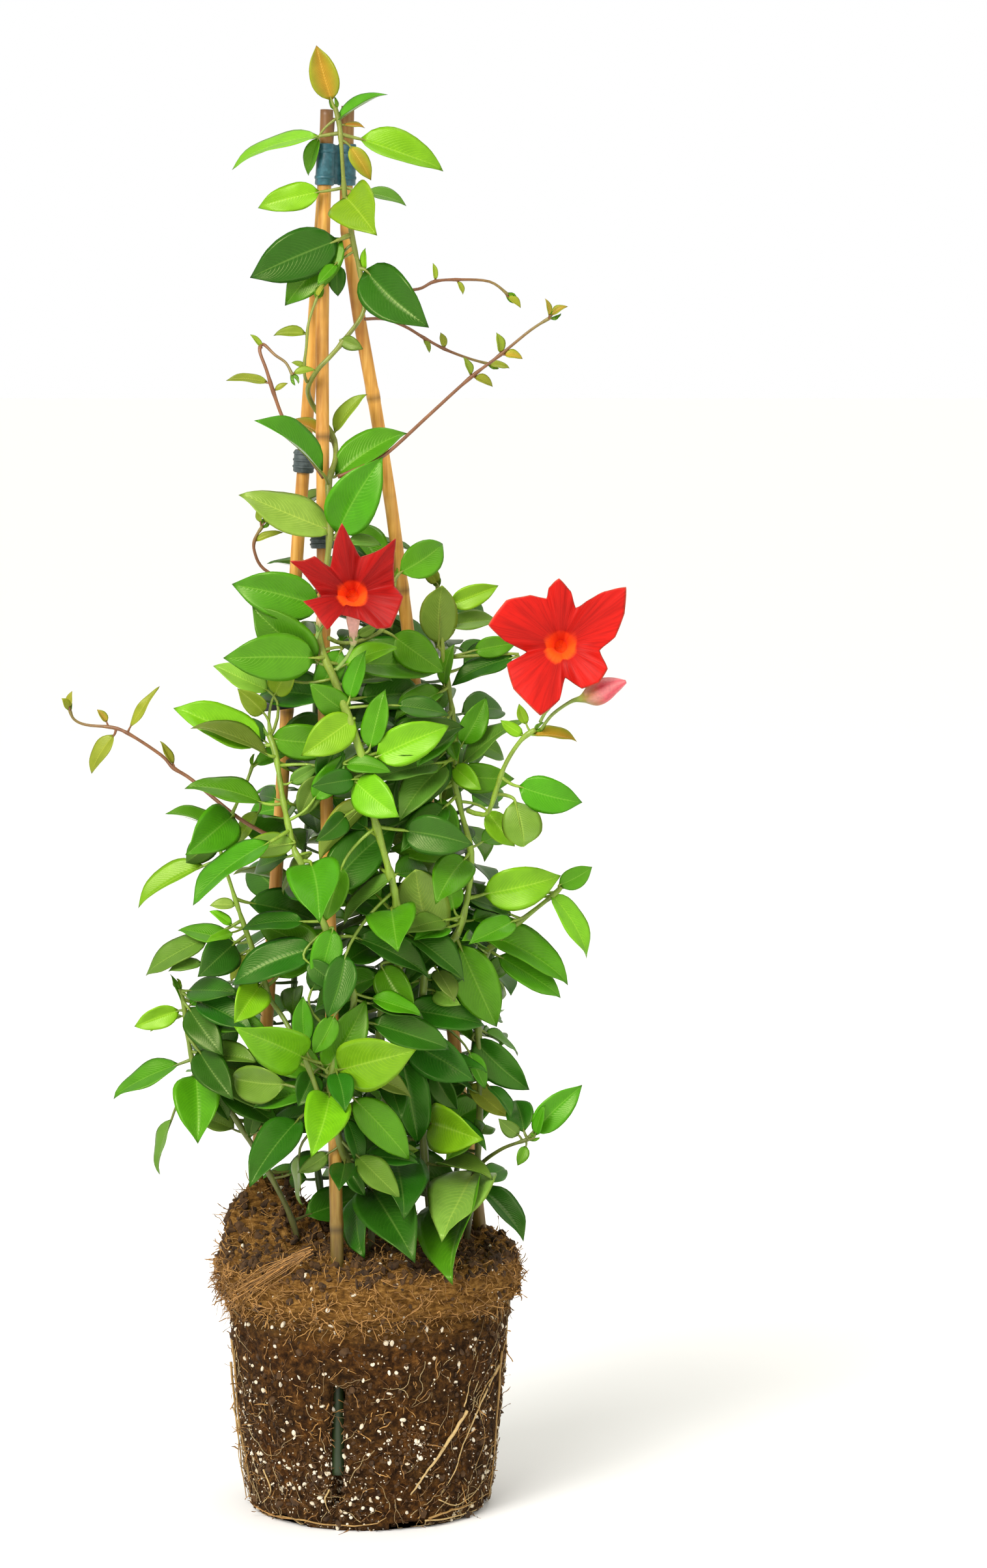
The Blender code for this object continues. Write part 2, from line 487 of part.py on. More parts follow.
def stem_shapes():
    """Route and radii of every stem, each side shoot starting clear of what it grows from"""
    made = {}
    for name, (thick, thin, parent, route) in STEMS.items():
        points = [seen(*p) for p in route]
        radii = [lerp(thick, thin, i / (len(points) - 1)) * MM for i in range(len(points))]
        if parent:
            reach = made[parent][1][0] + radii[0] + 0.6 * MM
            away = (points[1] - points[0]).normalized()
            points[0] = points[0] + away * reach
        made[name] = (points, radii)
    return made


def cane_points(name):
    return [seen(*p) for p in CANES[name]]


def cane_shape(name, spare=0.0, top_spare=0.0):
    points = cane_points(name)
    foot = (points[-1] - points[-2]).normalized()
    points[-1] = points[-1] + foot * top_spare
    return tube(points, [CANE_RADIUS * MM + spare] * len(points), CANE_SIDES)


def on_cane(name, z):
    """Middle of a cane at a height as seen"""
    route = CANES[name]
    for a, b in zip(route, route[1:]):
        if b[1] <= z <= a[1]:
            t = (z - a[1]) / (b[1] - a[1])
            return seen(lerp(a[0], b[0], t), z, lerp(a[2], b[2], t))
    return seen(*route[0])


# --- leaves ---

def attach_point(points, base, along):
    """Place on a stem where a petiole can leave it for the base of a blade"""
    best = None
    last = len(points) - 2
    for i, (a, b) in enumerate(zip(points, points[1:])):
        for k in range(6):
            p = a.lerp(b, k / 5 * (0.85 if i == last else 1))
            if i == 0 and k < 2:
                continue
            gap = base - p
            far = gap.length
            lean = gap.normalized().dot(along) if far > 1e-6 else 0
            cost = far * (1.6 - lean)
            if best is None or cost < best[0]:
                best = (cost, p)
    return best[1]


def blade_frame(leaf, depth, shift, size):
    """Base, tip, side and face directions and true width of a blade from how it is seen"""
    bx, bz, tx, tz, wide, held = leaf[:6]
    tx = lerp(bx, tx, size)
    tz = lerp(bz, tz, size)
    wide = wide * size
    seen_length = math.hypot(tx - bx, tz - bz)
    length = max(seen_length, 1.75 * wide) if "=" not in held else seen_length
    reach = math.sqrt(max(length * length - seen_length * seen_length, 0))
    if len(leaf) > 6:
        tip_depth = leaf[6] + shift
    else:
        tip_depth = depth + (reach if "<" in held else -reach) * 0.9 + shift
    base_depth = depth + shift * 0.3
    base = seen(bx, bz, base_depth)
    tip = seen(tx, tz, tip_depth)
    along = (tip - base).normalized()
    flat = Vector((-along.z, 0, along.x)).normalized()
    deep = along.cross(flat)
    true_wide = max(wide, 0.46 * (tip - base).length / MM) if "=" not in held else wide * 1.3
    turn = math.asin(min(wide / true_wide, 1))
    turn = max(turn, 0.25)
    best = None
    for sign in (1, -1):
        side = (flat * math.sin(turn) + deep * math.cos(turn) * sign).normalized()
        face = along.cross(side)
        if (face.y < 0) == ("u" in held):
            face = -face
            side = -side
        score = face.z + 0.2 * face.x * (1 if bx > 0 else -1)
        if best is None or score > best[0]:
            best = (score, side, face)
    return base, tip, best[1], best[2], true_wide * MM


def leaf_shape(start, base, tip, side, face, wide, grow=0.0):
    """Closed leaf: petiole from the stem, then a flat pointed oval arching to its tip"""
    length = (tip - base).length
    along = (tip - base).normalized()
    rows = LEAF_ROWS if length > SMALL_LEAF * MM else SMALL_LEAF_ROWS
    if length < TINY_LEAF * MM:
        rows = TINY_LEAF_ROWS
    middle = base.lerp(tip, 0.5) + face * length * ARCH
    if (base - start).length < SHORTEST * MM:
        start = base - along * SHORTEST * MM
    path = (base - start).normalized()
    bent = path.dot(along) < 0.4
    thick = PETIOLE_RADIUS * MM + grow * 0.5
    across = side - path * side.dot(path)
    if across.length < 0.3:
        across = face - path * face.dot(path)
    across.normalize()
    up = across.cross(path)
    if up.dot(face) < 0:
        up = -up
    foot = three_points(start, across, up, thick)
    neck = three_points(base - along * thick * 0.5 if bent else base, side, face, thick)
    half = BLADE_THICKNESS * MM / 2 + grow
    rings = [neck]
    for t, share in rows:
        p = base.lerp(middle, t).lerp(middle.lerp(tip, t), t)
        w = wide * share / 2 + grow
        thin = half * (1 - 0.45 * t)
        rings.append([p + side * w + face * thin, p - face * thin, p - side * w + face * thin])
    rings.append([tip + along * grow])
    blade = loft(rings)
    if bent:
        parts = [loft([foot, three_points(base + path * thick * 0.5, across, up, thick)]), blade]
    else:
        parts = [loft([foot] + rings)]
    return merged(parts), blade, parts


def three_points(middle, across, up, thick):
    return [middle + across * thick + up * thick * 0.6, middle - up * thick, middle - across * thick + up * thick * 0.6]


def merged(parts):
    verts = []
    faces = []
    for part_verts, part_faces in parts:
        faces.extend(tuple(i + len(verts) for i in face) for face in part_faces)
        verts.extend(part_verts)
    return verts, faces


def place_leaves(stems, still):
    """All leaves, each moved in depth till it is clear of everything placed before it"""
    placed = []
    blades = {}
    shapes = {}
    for name in LEAVES:
        shapes[name] = []
    tasks = []
    for name, leaves in LEAVES.items():
        for leaf in leaves:
            tasks.append((name, leaf))
    for name, leaf in tasks:
        points = stems[name][0]
        near = nearest_depth(name, leaf[0], leaf[1])
        for size in SIZES:
            found = False
            for shift in SHIFTS:
                base, tip, side, face, wide = blade_frame(leaf, near, shift, size)
                start = rooted(attach_point(points, base, (tip - base).normalized()), len(placed))
                big = leaf_shape(start, base, tip, side, face, wide, SPARE * MM * 0.5)
                if is_clear(name, big, still, placed, blades):
                    found = True
                    break
            if found:
                break
        if not found:
            continue
        keep(name, leaf_shape(start, base, tip, side, face, wide), placed, blades, shapes)
    return placed, blades, shapes


def nearest_depth(name, x, z):
    """Depth of a stem where it is seen closest to a point"""
    route = STEMS[name][3]
    best = None
    for a, b in zip(route, route[1:]):
        for k in range(6):
            t = k / 5
            far = math.hypot(lerp(a[0], b[0], t) - x, lerp(a[1], b[1], t) - z)
            if best is None or far < best[0]:
                best = (far, lerp(a[2], b[2], t))
    return best[1]


def is_clear(name, big, still, placed, blades):
    whole = tree_of(big[0])
    box = bounds_of(big[0])
    for owner, other_box, tree in still:
        if owner != name and not apart(box, other_box) and tree.overlap(whole):
            return False
    for owner, other_box, tree in placed:
        if owner != name and not apart(box, other_box) and tree.overlap(whole):
            return False
    blade = tree_of(big[1])
    for other_box, tree in blades.get(name, ()):
        if not apart(box, other_box) and tree.overlap(blade):
            return False
    return True


def rooted(start, count):
    """Start of a petiole set a little off the middle of its stem, each in its own way"""
    turn = count * 2.4
    return start + Vector((math.cos(turn), math.sin(turn), math.cos(turn * 1.7))) * 0.3 * MM


def keep(name, shape, placed, blades, shapes):
    whole, blade, parts = shape
    placed.append((name, bounds_of(whole), tree_of(whole)))
    blades.setdefault(name, []).append((bounds_of(blade), tree_of(blade)))
    shapes[name].extend(parts)


def within(p):
    """Whether a tip stays inside the outline of the plant's lower part"""
    left, right = PAIR_REACH
    return left[0] * MM < p.x < right[0] * MM and left[1] * MM < p.z < right[1] * MM


def place_pairs(stems, still, placed, blades, shapes):
    """Crossed pairs of leaves behind the ones in front, leaning out and drooping"""
    chance = random.Random(PAIR_SEED)
    for name, first, last, pairs, lean in PAIRS:
        shapes.setdefault(name, [])
        points = stems[name][0]
        for i in range(pairs):
            part = lerp(first, last, i / (pairs - 1)) * (len(points) - 1)
            a = min(int(part), len(points) - 2)
            node = points[a].lerp(points[a + 1], part - a)
            for sign in (-1, 1):
                start = rooted(node, len(placed))
                long = chance.uniform(*PAIR_LENGTH)
                droop = chance.uniform(-0.9, 0.35)
                back = lean * chance.uniform(0.2, 1.6)
                gap = chance.uniform(6, 14)
                for tries in range(8):
                    out = Vector((sign, back + 0.25 * tries, droop + 0.3 * (tries % 3))).normalized()
                    base = node + out * gap * MM
                    tip = base + out * long * MM
                    if not within(tip):
                        long *= 0.86
                        continue
                    face = Vector((0.25 * sign, -0.8 if back < 1 else 0.8, 0.6))
                    face = (face - out * face.dot(out)).normalized()
                    side = out.cross(face)
                    wide = long * 0.5 * MM
                    big = leaf_shape(start, base, tip, side, face, wide, SPARE * MM * 0.5)
                    if is_clear(name, big, still, placed, blades):
                        keep(name, leaf_shape(start, base, tip, side, face, wide), placed, blades, shapes)
                        break
                    long *= 0.95


# --- blooms ---

def bloom_shape(name):
    """Corolla as one thin star: throat going back, five lobes to a hand-set rim"""
    centre, rim = BLOOMS[name]
    throat = seen(*centre)
    outer = [seen(*p) for p in rim]
    back = Vector((0, 1, -0.28)).normalized()
    n = len(outer)
    rows = []
    for share in BLOOM_ROWS:
        ring = []
        for p in outer:
            spot = throat.lerp(p, share)
            if share < 0.25:
                spot = throat.lerp(p, 0.14) + back * THROAT_DEPTH * MM
            elif share < 0.5:
                flat = (p - throat).normalized() * 7 * MM
                spot = throat + flat + back * 2.2 * MM
            elif share < 1:
                spot = spot - back * 1.5 * MM
            ring.append(spot)
        rows.append(ring)
    half = PETAL_THICKNESS * MM
    front = rows
    behind = []
    for ring in rows:
        behind.append([p + back * half for p in ring])
    behind[0] = [throat.lerp(p, 0.05) + back * (THROAT_DEPTH * MM + half) for p in outer]
    behind[1] = [p + back * half + (p - throat).normalized() * half * 0.8 for p in rows[1]]
    tip_front = [throat + back * (THROAT_DEPTH - 1) * MM]
    tip_back = [throat + back * (THROAT_DEPTH * MM + half * 2)]
    return loft([tip_front] + front + list(reversed(behind)) + [tip_back])


def tube_shape(name):
    spots = TUBES[name]
    return tube([seen(*p[:3]) for p in spots], [p[3] * MM for p in spots], 8)


# --- root ball, clip and ties ---

def ball_shape():
    chance = random.Random(5)
    rings = []
    for row, (radius, height) in enumerate(BALL_PROFILE):
        ring = []
        for k in range(BALL_SIDES):
            a = 2 * math.pi * k / BALL_SIDES
            rough = 0 if row == 0 else chance.uniform(-0.5, 0.5)
            if row >= 6:
                rough = chance.uniform(-1.2, 1.2)
            lift = 0 if row < 6 else chance.uniform(-0.8, 0.8)
            r = radius + rough
            x, y = r * math.cos(a), r * math.sin(a)
            top = soil_rise(x, y) if row == len(BALL_PROFILE) - 1 else 0
            ring.append(Vector((x, y, height + lift + top)) * MM)
        rings.append(ring)
    for radius in SOIL_RINGS:
        ring = []
        for k in range(BALL_SIDES):
            a = 2 * math.pi * k / BALL_SIDES
            x, y = radius * math.cos(a), radius * math.sin(a)
            ring.append(Vector((x, y, SOIL_HEIGHT + soil_rise(x, y) + chance.uniform(-0.9, 0.9))) * MM)
        rings.append(ring)
    rings.append([Vector((0, 0, SOIL_HEIGHT + soil_rise(0, 0))) * MM])
    return loft(rings)


def soil_rise(x, y):
    total = 0
    for mx, my, high, spread in MOUNDS:
        total += high * math.exp(-((x - mx) ** 2 + (y - my) ** 2) / (2 * spread * spread))
    return total


def box_shape(centre, half, angle):
    verts = []
    for sx, sy, sz in ((-1, -1, -1), (1, -1, -1), (1, 1, -1), (-1, 1, -1), (-1, -1, 1), (1, -1, 1), (1, 1, 1), (-1, 1, 1)):
        x, y, z = sx * half[0], sy * half[1], sz * half[2]
        verts.append(Vector((centre[0] + x * math.cos(angle) - y * math.sin(angle),
                             centre[1] + x * math.sin(angle) + y * math.cos(angle), centre[2] + z)) * MM)
    faces = [(0, 3, 2, 1), (4, 5, 6, 7), (0, 1, 5, 4), (1, 2, 6, 5), (2, 3, 7, 6), (3, 0, 4, 7)]
    return verts, faces


def build_ball(stems):
    ball = new_object("root_ball", ball_shape(), "root_ball")
    holes = []
    for degrees in NOTCH_ANGLES:
        a = math.radians(degrees)
        wide, deep, high = NOTCH_SIZE
        spot = (68 * math.cos(a), 68 * math.sin(a), high / 2 - 5)
        holes.append(box_shape(spot, (deep / 2, wide / 2, high / 2 + 5), a))
    for name in CANES:
        holes.append(cane_shape(name, PLAY * MM, PLAY * MM * 3))
    for name, (points, radii) in stems.items():
        if STEMS[name][2] is None:
            down = (points[0] - points[1]).normalized()
            path = [points[0] + down * MM, points[0], points[1], points[2]]
            holes.append(tube(path, [r + PLAY * MM for r in (radii[0], radii[0], radii[1], radii[2])], 8))
    x, wide, low, high = SLOT
    foot = seen(x, low, -68)
    top = seen(x, high, -68)
    middle = (foot + top) / 2 / MM
    holes.append(box_shape((middle.x, middle.y - 6, middle.z), (wide / 2, 10, (top.z - foot.z) / 2 / MM), 0))
    cut(ball, holes)
    return ball


def clip_shape():
    low, high, radius = CLIP
    made = bmesh.new()
    for name in CANES:
        for z in (low, high):
            p = on_cane(name, z)
            level = EYE.z * MM + (z - EYE.z) * MM
            for k in range(8):
                a = 2 * math.pi * k / 8
                made.verts.new((p.x + radius * MM * math.cos(a), p.y + radius * MM * math.sin(a), level))
    bmesh.ops.convex_hull(made, input=made.verts)
    loose = [v for v in made.verts if not v.link_faces]
    bmesh.ops.delete(made, geom=loose, context="VERTS")
    made.verts.index_update()
    shape = ([v.co.copy() for v in made.verts], [tuple(v.index for v in f.verts) for f in made.faces])
    made.free()
    return shape


def build_fittings():
    clip = new_object("clip_top", clip_shape(), "clip")
    cut(clip, [cane_shape(name, PLAY * MM) for name in CANES])
    for name, (cane, low, high, radius) in TIES.items():
        shape = tube([on_cane(cane, low), on_cane(cane, high)], [radius * MM] * 2, 14)
        cut(new_object(name, shape, "tie"), [cane_shape(cane, PLAY * MM)])
    new_object("tie_loop", loop_shape(), "tie")


def loop_shape():
    x, z, y, wide, deep = LOOP
    middle = seen(x, z, y)
    verts = []
    faces = []
    around, sides = 16, 5
    for i in range(around):
        a = 2 * math.pi * i / around
        out = Vector((math.cos(a), math.sin(a), 0))
        spot = middle + Vector((wide * math.cos(a), deep * math.sin(a), 1.5 * math.cos(a))) * MM
        for k in range(sides):
            b = 2 * math.pi * k / sides
            verts.append(spot + (out * math.cos(b) + Vector((0, 0, 1.6 * math.sin(b)))) * LOOP_RADIUS * MM)
    for i in range(around):
        for k in range(sides):
            i2, k2 = (i + 1) % around, (k + 1) % sides
            faces.append((i * sides + k, i2 * sides + k, i2 * sides + k2, i * sides + k2))
    return verts, faces


# --- the plant ---

clear_scene()
STEM_LINES = stem_shapes()
STEM_TUBES = {name: tube(*line, 4) for name, line in STEM_LINES.items()}

build_ball(STEM_LINES)
for cane_name in CANES:
    new_object(f"cane_{cane_name}", cane_shape(cane_name), "cane")
build_fittings()

standing = []
for thing in bpy.data.objects:
    whole = ([v.co.copy() for v in thing.data.vertices], [tuple(f.vertices) for f in thing.data.polygons])
    standing.append((thing.name, bounds_of(whole), tree_of(whole)))
for bloom in BLOOMS:
    bloom_mesh = bloom_shape(bloom)
    new_object(bloom, bloom_mesh, "petal")
    standing.append((bloom, bounds_of(bloom_mesh), tree_of(bloom_mesh)))
for part in TUBES:
    part_mesh = tube_shape(part)
    new_object(part, part_mesh, "bud" if "bud" in part else "tube")
    standing.append((part, bounds_of(part_mesh), tree_of(part_mesh)))
for stem, stem_mesh in STEM_TUBES.items():
    standing.append((stem, bounds_of(stem_mesh), tree_of(stem_mesh)))

laid, laid_blades, leaf_meshes = place_leaves(STEM_LINES, standing)
place_pairs(STEM_LINES, standing, laid, laid_blades, leaf_meshes)

for stem, stem_mesh in STEM_TUBES.items():
    kind = "vine" if stem.startswith("vine") else "back_leaf" if "back" in stem else "leaf"
    grow(stem, stem_mesh, kind, leaf_meshes.get(stem, []))
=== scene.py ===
"""Looks of a mandevilla on its bare root ball, with three bamboo canes and two red blooms."""

import math
import random

import bmesh
import bpy
from mathutils import Matrix, Vector, noise
from mathutils.bvhtree import BVHTree


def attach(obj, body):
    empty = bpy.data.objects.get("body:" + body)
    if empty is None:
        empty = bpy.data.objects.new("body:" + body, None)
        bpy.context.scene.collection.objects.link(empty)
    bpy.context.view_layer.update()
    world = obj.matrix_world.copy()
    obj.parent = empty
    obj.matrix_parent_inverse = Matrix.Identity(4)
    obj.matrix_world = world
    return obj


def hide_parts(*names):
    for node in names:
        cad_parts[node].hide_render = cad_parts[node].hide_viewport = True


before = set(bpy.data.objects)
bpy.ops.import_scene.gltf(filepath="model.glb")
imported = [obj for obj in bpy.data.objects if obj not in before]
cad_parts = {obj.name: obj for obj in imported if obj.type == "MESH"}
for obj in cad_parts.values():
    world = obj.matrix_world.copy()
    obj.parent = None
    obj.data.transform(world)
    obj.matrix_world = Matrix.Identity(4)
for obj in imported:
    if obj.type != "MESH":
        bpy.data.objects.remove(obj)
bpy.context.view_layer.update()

MM = 0.001


# --- Root ball ---
# Peat and coir pressed into the shape of a 17 cm pot and lifted out of it bare. The side is crumbly, the lip is
# frayed and stands proud, the top is cloddy. The pot left a slot in the front and six notches round the foot.
EYE = Vector((68, -2620, 719))
BALL_PROFILE = ((64, 0), (66.5, 3), (69, 22), (72.5, 56), (75, 90), (77.5, 117), (82, 120), (82.5, 132), (79, 142))
MOUNDS = ((-50, 22, 26, 19), (-72, 18, 12, 12), (12, 0, 4, 20), (40, 30, 5, 18), (-10, -40, 3, 16))
NOTCH_ANGLES = (-70, -10, 50, 110, 170, 230)
NOTCH_HEIGHT, NOTCH_HALF_WIDTH, NOTCH_DEPTH = 4.6, 10.5, 12
LIP_FOOT = 108


def seen(x, z, y):
    """Point of the plant, in metres, from where it is seen and its depth"""
    t = (y - EYE.y) / -EYE.y
    return Vector((EYE.x + (x - EYE.x) * t, y, EYE.z + (z - EYE.z) * t)) * MM


def lerp(a, b, t):
    return a + (b - a) * t


SLOT_X = seen(-18.3, 40, -68).x / MM
SLOT_LOW, SLOT_HIGH = seen(0, -6, -68).z / MM, seen(0, 63, -68).z / MM
SLOT_DEPTH = 11.0


def soil_rise(x, y):
    total = 0
    for mx, my, high, spread in MOUNDS:
        total += high * math.exp(-((x - mx) ** 2 + (y - my) ** 2) / (2 * spread * spread))
    return total


def ball_radius(z):
    for (ra, za), (rb, zb) in zip(BALL_PROFILE, BALL_PROFILE[1:]):
        if z <= zb:
            return lerp(ra, rb, (z - za) / (zb - za))
    return BALL_PROFILE[-1][0]


def rough(p, scale, seed):
    return noise.noise(Vector((p[0] / scale + seed, p[1] / scale, p[2] / scale)))


def node(tree, kind, inputs=None, **settings):
    """New node with its settings, and its inputs linked or set"""
    made = tree.nodes.new(kind)
    for key, value in settings.items():
        setattr(made, key, value)
    for key, value in (inputs or {}).items():
        if hasattr(value, "is_linked"):
            tree.links.new(value, made.inputs[key])
        else:
            made.inputs[key].default_value = value
    return made


def maths(tree, operation, a, b=0.0):
    return node(tree, "ShaderNodeMath", {0: a, 1: b}, operation=operation).outputs[0]


class Finish:
    """One material while its nodes are put together"""

    def __init__(self, name, roughness, **sockets):
        self.material = bpy.data.materials.new(name)
        self.material.use_nodes = True
        self.tree = self.material.node_tree
        self.shader = self.tree.nodes["Principled BSDF"]
        self.set("Roughness", roughness)
        for socket, value in sockets.items():
            self.set(socket.replace("_", " "), value)

    def set(self, socket, value):
        if hasattr(value, "is_linked"):
            self.tree.links.new(value, self.shader.inputs[socket])
        else:
            self.shader.inputs[socket].default_value = value

    def maths(self, operation, a, b=0.0):
        return maths(self.tree, operation, a, b)

    def plus(self, a, b):
        return self.maths("ADD", a, b)

    def times(self, a, b):
        return self.maths("MULTIPLY", a, b)

    def tone(self):
        return node(self.tree, "ShaderNodeAttribute", attribute_name="tone").outputs["Color"]

    def place(self):
        return node(self.tree, "ShaderNodeTexCoord").outputs["Object"]

    def axes(self, vector):
        return node(self.tree, "ShaderNodeSeparateXYZ", {0: vector}).outputs

    def ramp(self, source, *stops):
        """A value or a colour that runs from stop to stop"""
        made = node(self.tree, "ShaderNodeValToRGB", {"Fac": source})
        elements = made.color_ramp.elements
        while len(elements) < len(stops):
            elements.new(0.5)
        for element, (place, level) in zip(elements, stops):
            element.position = place
            element.color = (*level, 1) if isinstance(level, tuple) else (level, level, level, 1)
        return made.outputs["Color"]

    def mix(self, a, b, factor, blend="MIX"):
        a, b = ((*colour, 1) if isinstance(colour, tuple) else colour for colour in (a, b))
        inputs = {"Factor_Float": factor, "A_Color": a, "B_Color": b}
        made = self.tree.nodes.new("ShaderNodeMix")
        made.data_type, made.blend_type = "RGBA", blend
        for socket in made.inputs:
            value = inputs.get(socket.identifier)
            if hasattr(value, "is_linked"):
                self.tree.links.new(value, socket)
            elif value is not None:
                socket.default_value = value
        return made.outputs[2]

    def multiply(self, a, b, factor=1.0):
        return self.mix(a, b, factor, "MULTIPLY")

    def noise(self, scale, detail, rough=0.55, stretch=None):
        place = self.place()
        if stretch:
            place = node(self.tree, "ShaderNodeMapping", {"Vector": place, "Scale": stretch}).outputs["Vector"]
        return node(self.tree, "ShaderNodeTexNoise", {
            "Vector": place, "Scale": scale, "Detail": detail, "Roughness": rough}).outputs["Fac"]

    def relief(self, height, strength, depth):
        """Last step: the small relief of the surface"""
        made = node(self.tree, "ShaderNodeBump", {"Height": height, "Strength": strength, "Distance": depth})
        self.set("Normal", made.outputs["Normal"])
        return self.material


def soil_material():
    """Peat: dark crumbly brown with reddish coir patches, pale seeds and a lighter fibrous lip"""
    look = Finish("soil", 0.93, Specular_IOR_Level=0.12)
    large = look.noise(38, 5, 0.6)
    small = look.noise(260, 5, 0.7)
    fibre = look.noise(210, 4, 0.7, stretch=(1, 1, 3.2))
    body = look.ramp(small, (0.30, (0.0065, 0.0028, 0.0008)), (0.46, (0.026, 0.0110, 0.0028)),
                     (0.60, (0.072, 0.032, 0.0075)), (0.78, (0.19, 0.092, 0.026)))
    body = look.multiply(body, (1.5, 1.3, 1.0), look.ramp(large, (0.42, 0.0), (0.65, 0.9)))
    height = look.plus(look.axes(look.place())["Z"], look.times(large, 0.016))
    coir = look.ramp(fibre, (0.32, (0.050, 0.021, 0.004)), (0.50, (0.190, 0.088, 0.018)),
                     (0.70, (0.42, 0.225, 0.060)))
    body = look.mix(body, coir, look.times(look.ramp(height, (0.112, 0.0), (0.128, 1.0)), 0.85))
    cells = node(look.tree, "ShaderNodeTexVoronoi", {"Vector": look.place(), "Scale": 430}).outputs
    seeds = look.ramp(cells["Color"], (0.90, 0.0), (0.93, 1.0))
    spot = look.times(seeds, look.ramp(cells["Distance"], (0.22, 1.0), (0.34, 0.0)))
    look.set("Base Color", look.mix(body, (0.62, 0.57, 0.48), look.times(spot, 0.8)))
    return look.relief(look.plus(small, look.times(fibre, 0.7)), 0.9, 0.0022)


class Build:
    """Vertices, faces, tones and UVs of one piece while it is put together"""

    def __init__(self):
        self.verts, self.faces, self.tones, self.uvs, self.slots = [], [], [], [], []

    def put(self, verts, faces, tones=(1, 1, 1), uvs=None, slot=0):
        start = len(self.verts)
        self.verts.extend(verts)
        self.tones.extend(tones if isinstance(tones, list) else [tones] * len(verts))
        self.uvs.extend(uvs or [(0.5, 0.5)] * len(verts))
        self.faces.extend(tuple(i + start for i in face) for face in faces)
        self.slots.extend([slot] * len(faces))

    def make(self, name, materials, uv_name="leaf_uv"):
        mesh = bpy.data.meshes.new(name)
        mesh.from_pydata([tuple(v) for v in self.verts], [], self.faces)
        for each in materials:
            mesh.materials.append(each)
        mesh.polygons.foreach_set("material_index", self.slots)
        mesh.polygons.foreach_set("use_smooth", [True] * len(self.faces))
        layer = mesh.color_attributes.new("tone", "FLOAT_COLOR", "POINT")
        layer.data.foreach_set("color", [c for tone in self.tones for c in (*tone, 1.0)])
        loops = [0] * len(mesh.loops)
        mesh.loops.foreach_get("vertex_index", loops)
        layer = mesh.uv_layers.new(name=uv_name)
        layer.data.foreach_set("uv", [c for i in loops for c in self.uvs[i]])
        mesh.update()
        piece = bpy.data.objects.new(name, mesh)
        bpy.context.scene.collection.objects.link(piece)
        return piece


def wall(rows, sides, closed=False):
    """Faces between rows of a ring of sides; a closed wall joins its last row to its first"""
    faces = []
    for i in range(rows if closed else rows - 1):
        for k in range(sides):
            a, b, k2 = i * sides, (i + 1) % rows * sides, (k + 1) % sides
            faces.append((a + k, a + k2, b + k2, b + k))
    return faces


def caps(rows, sides):
    """Faces that close both ends of such a wall"""
    return [tuple(range(sides - 1, -1, -1)), tuple((rows - 1) * sides + k for k in range(sides))]


def notch_gap(angle):
    """Degrees to the nearest notch in the foot"""
    return min(abs((math.degrees(angle) - notch + 180) % 360 - 180) for notch in NOTCH_ANGLES)


def side_point(a, z):
    """Point of the ball's side at an angle and height: clods, the frayed lip, notches and slot"""
    c, s = math.cos(a), math.sin(a)
    r = ball_radius(z)
    p = (r * c, r * s, z)
    clod = rough(p, 9, 0) * 1.5 + rough(p, 3.6, 7) * 1.1 + rough(p, 1.7, 3) * 0.55
    r += clod - 0.4
    wave = rough((c * 30, s * 30, 0), 9, 5) * 7 + rough((c * 30, s * 30, 0), 2.5, 2) * 3
    if z > LIP_FOOT:
        under = min(max((118 + wave * 0.6 - z) / 5, 0), 1)
        r = lerp(r + max(0, wave * 0.25), min(r, 78 + clod), under)
        r += rough((c * 46, s * 46, z * 1.5), 6, 14) * 2.6 + rough((c * 60, s * 60, z * 2.4), 4, 17) * 1.4 \
            + rough(p, 5, 11) * 1.6 + abs(rough(p, 2.4, 4)) * 1.5 - 0.8
    if z < NOTCH_HEIGHT and notch_gap(a) * math.pi / 180 * r < NOTCH_HALF_WIDTH:
        r -= NOTCH_DEPTH
    x, y = r * c, r * s
    if y < 0 and abs(x - SLOT_X) < 4.0 + clod * 0.4 and SLOT_LOW + clod * 2 < z < SLOT_HIGH + clod * 3:
        r -= SLOT_DEPTH
    return r * c, r * s, max(z + rough(p, 2.2, 9) * 0.5, 0.0) if z > 1 else 0.0


def top_point(a, r):
    """Point of the cloddy top at an angle and radius"""
    x, y = r * math.cos(a), r * math.sin(a)
    p = (x, y, 0)
    edge = min(max((r - 66) / 12, 0), 1)
    heap = min(soil_rise(x, y) / 12, 1.3)
    lumps = rough(p, 11, 1) * (3.5 + 4.5 * heap) + rough(p, 5, 6) * (3.2 + 2.6 * heap)
    lumps += abs(rough(p, 2.3, 8)) * 3.4 + rough(p, 1.2, 3) * 1.0
    return x, y, 142 + soil_rise(x, y) + lumps * (1 - 0.35 * edge) - edge * edge * 1.5


def crowds_at(a, x, y, z, on_side, low):
    """How thickly perlite, lip fibres and loose crumbs lie at a point of the soil"""
    grit = 0.0
    if z >= 1 and not (low and notch_gap(a) < 11):
        grit = (0.30 + 0.75 * max(0, rough((x, y, z), 26, 12) + 0.35)) * (1.0 if z < 118 else 0.22)
        grit *= 1.35 if z < 60 else 1.0
        grit *= 1 + 1.6 * math.exp(-((x + 38) ** 2 + (z - 26) ** 2) / 900) * (y < 0)
        grit *= 1 + 1.2 * math.exp(-((x - 22) ** 2 + (z - 44) ** 2) / 700) * (y < 0)
    frayed = 1.0 if 112 < z < 150 and on_side else 0.10
    return grit, frayed * (0.6 + 0.8 * (0.5 - 0.5 * math.cos(a))), 1.0 if z > 138 else 0.05


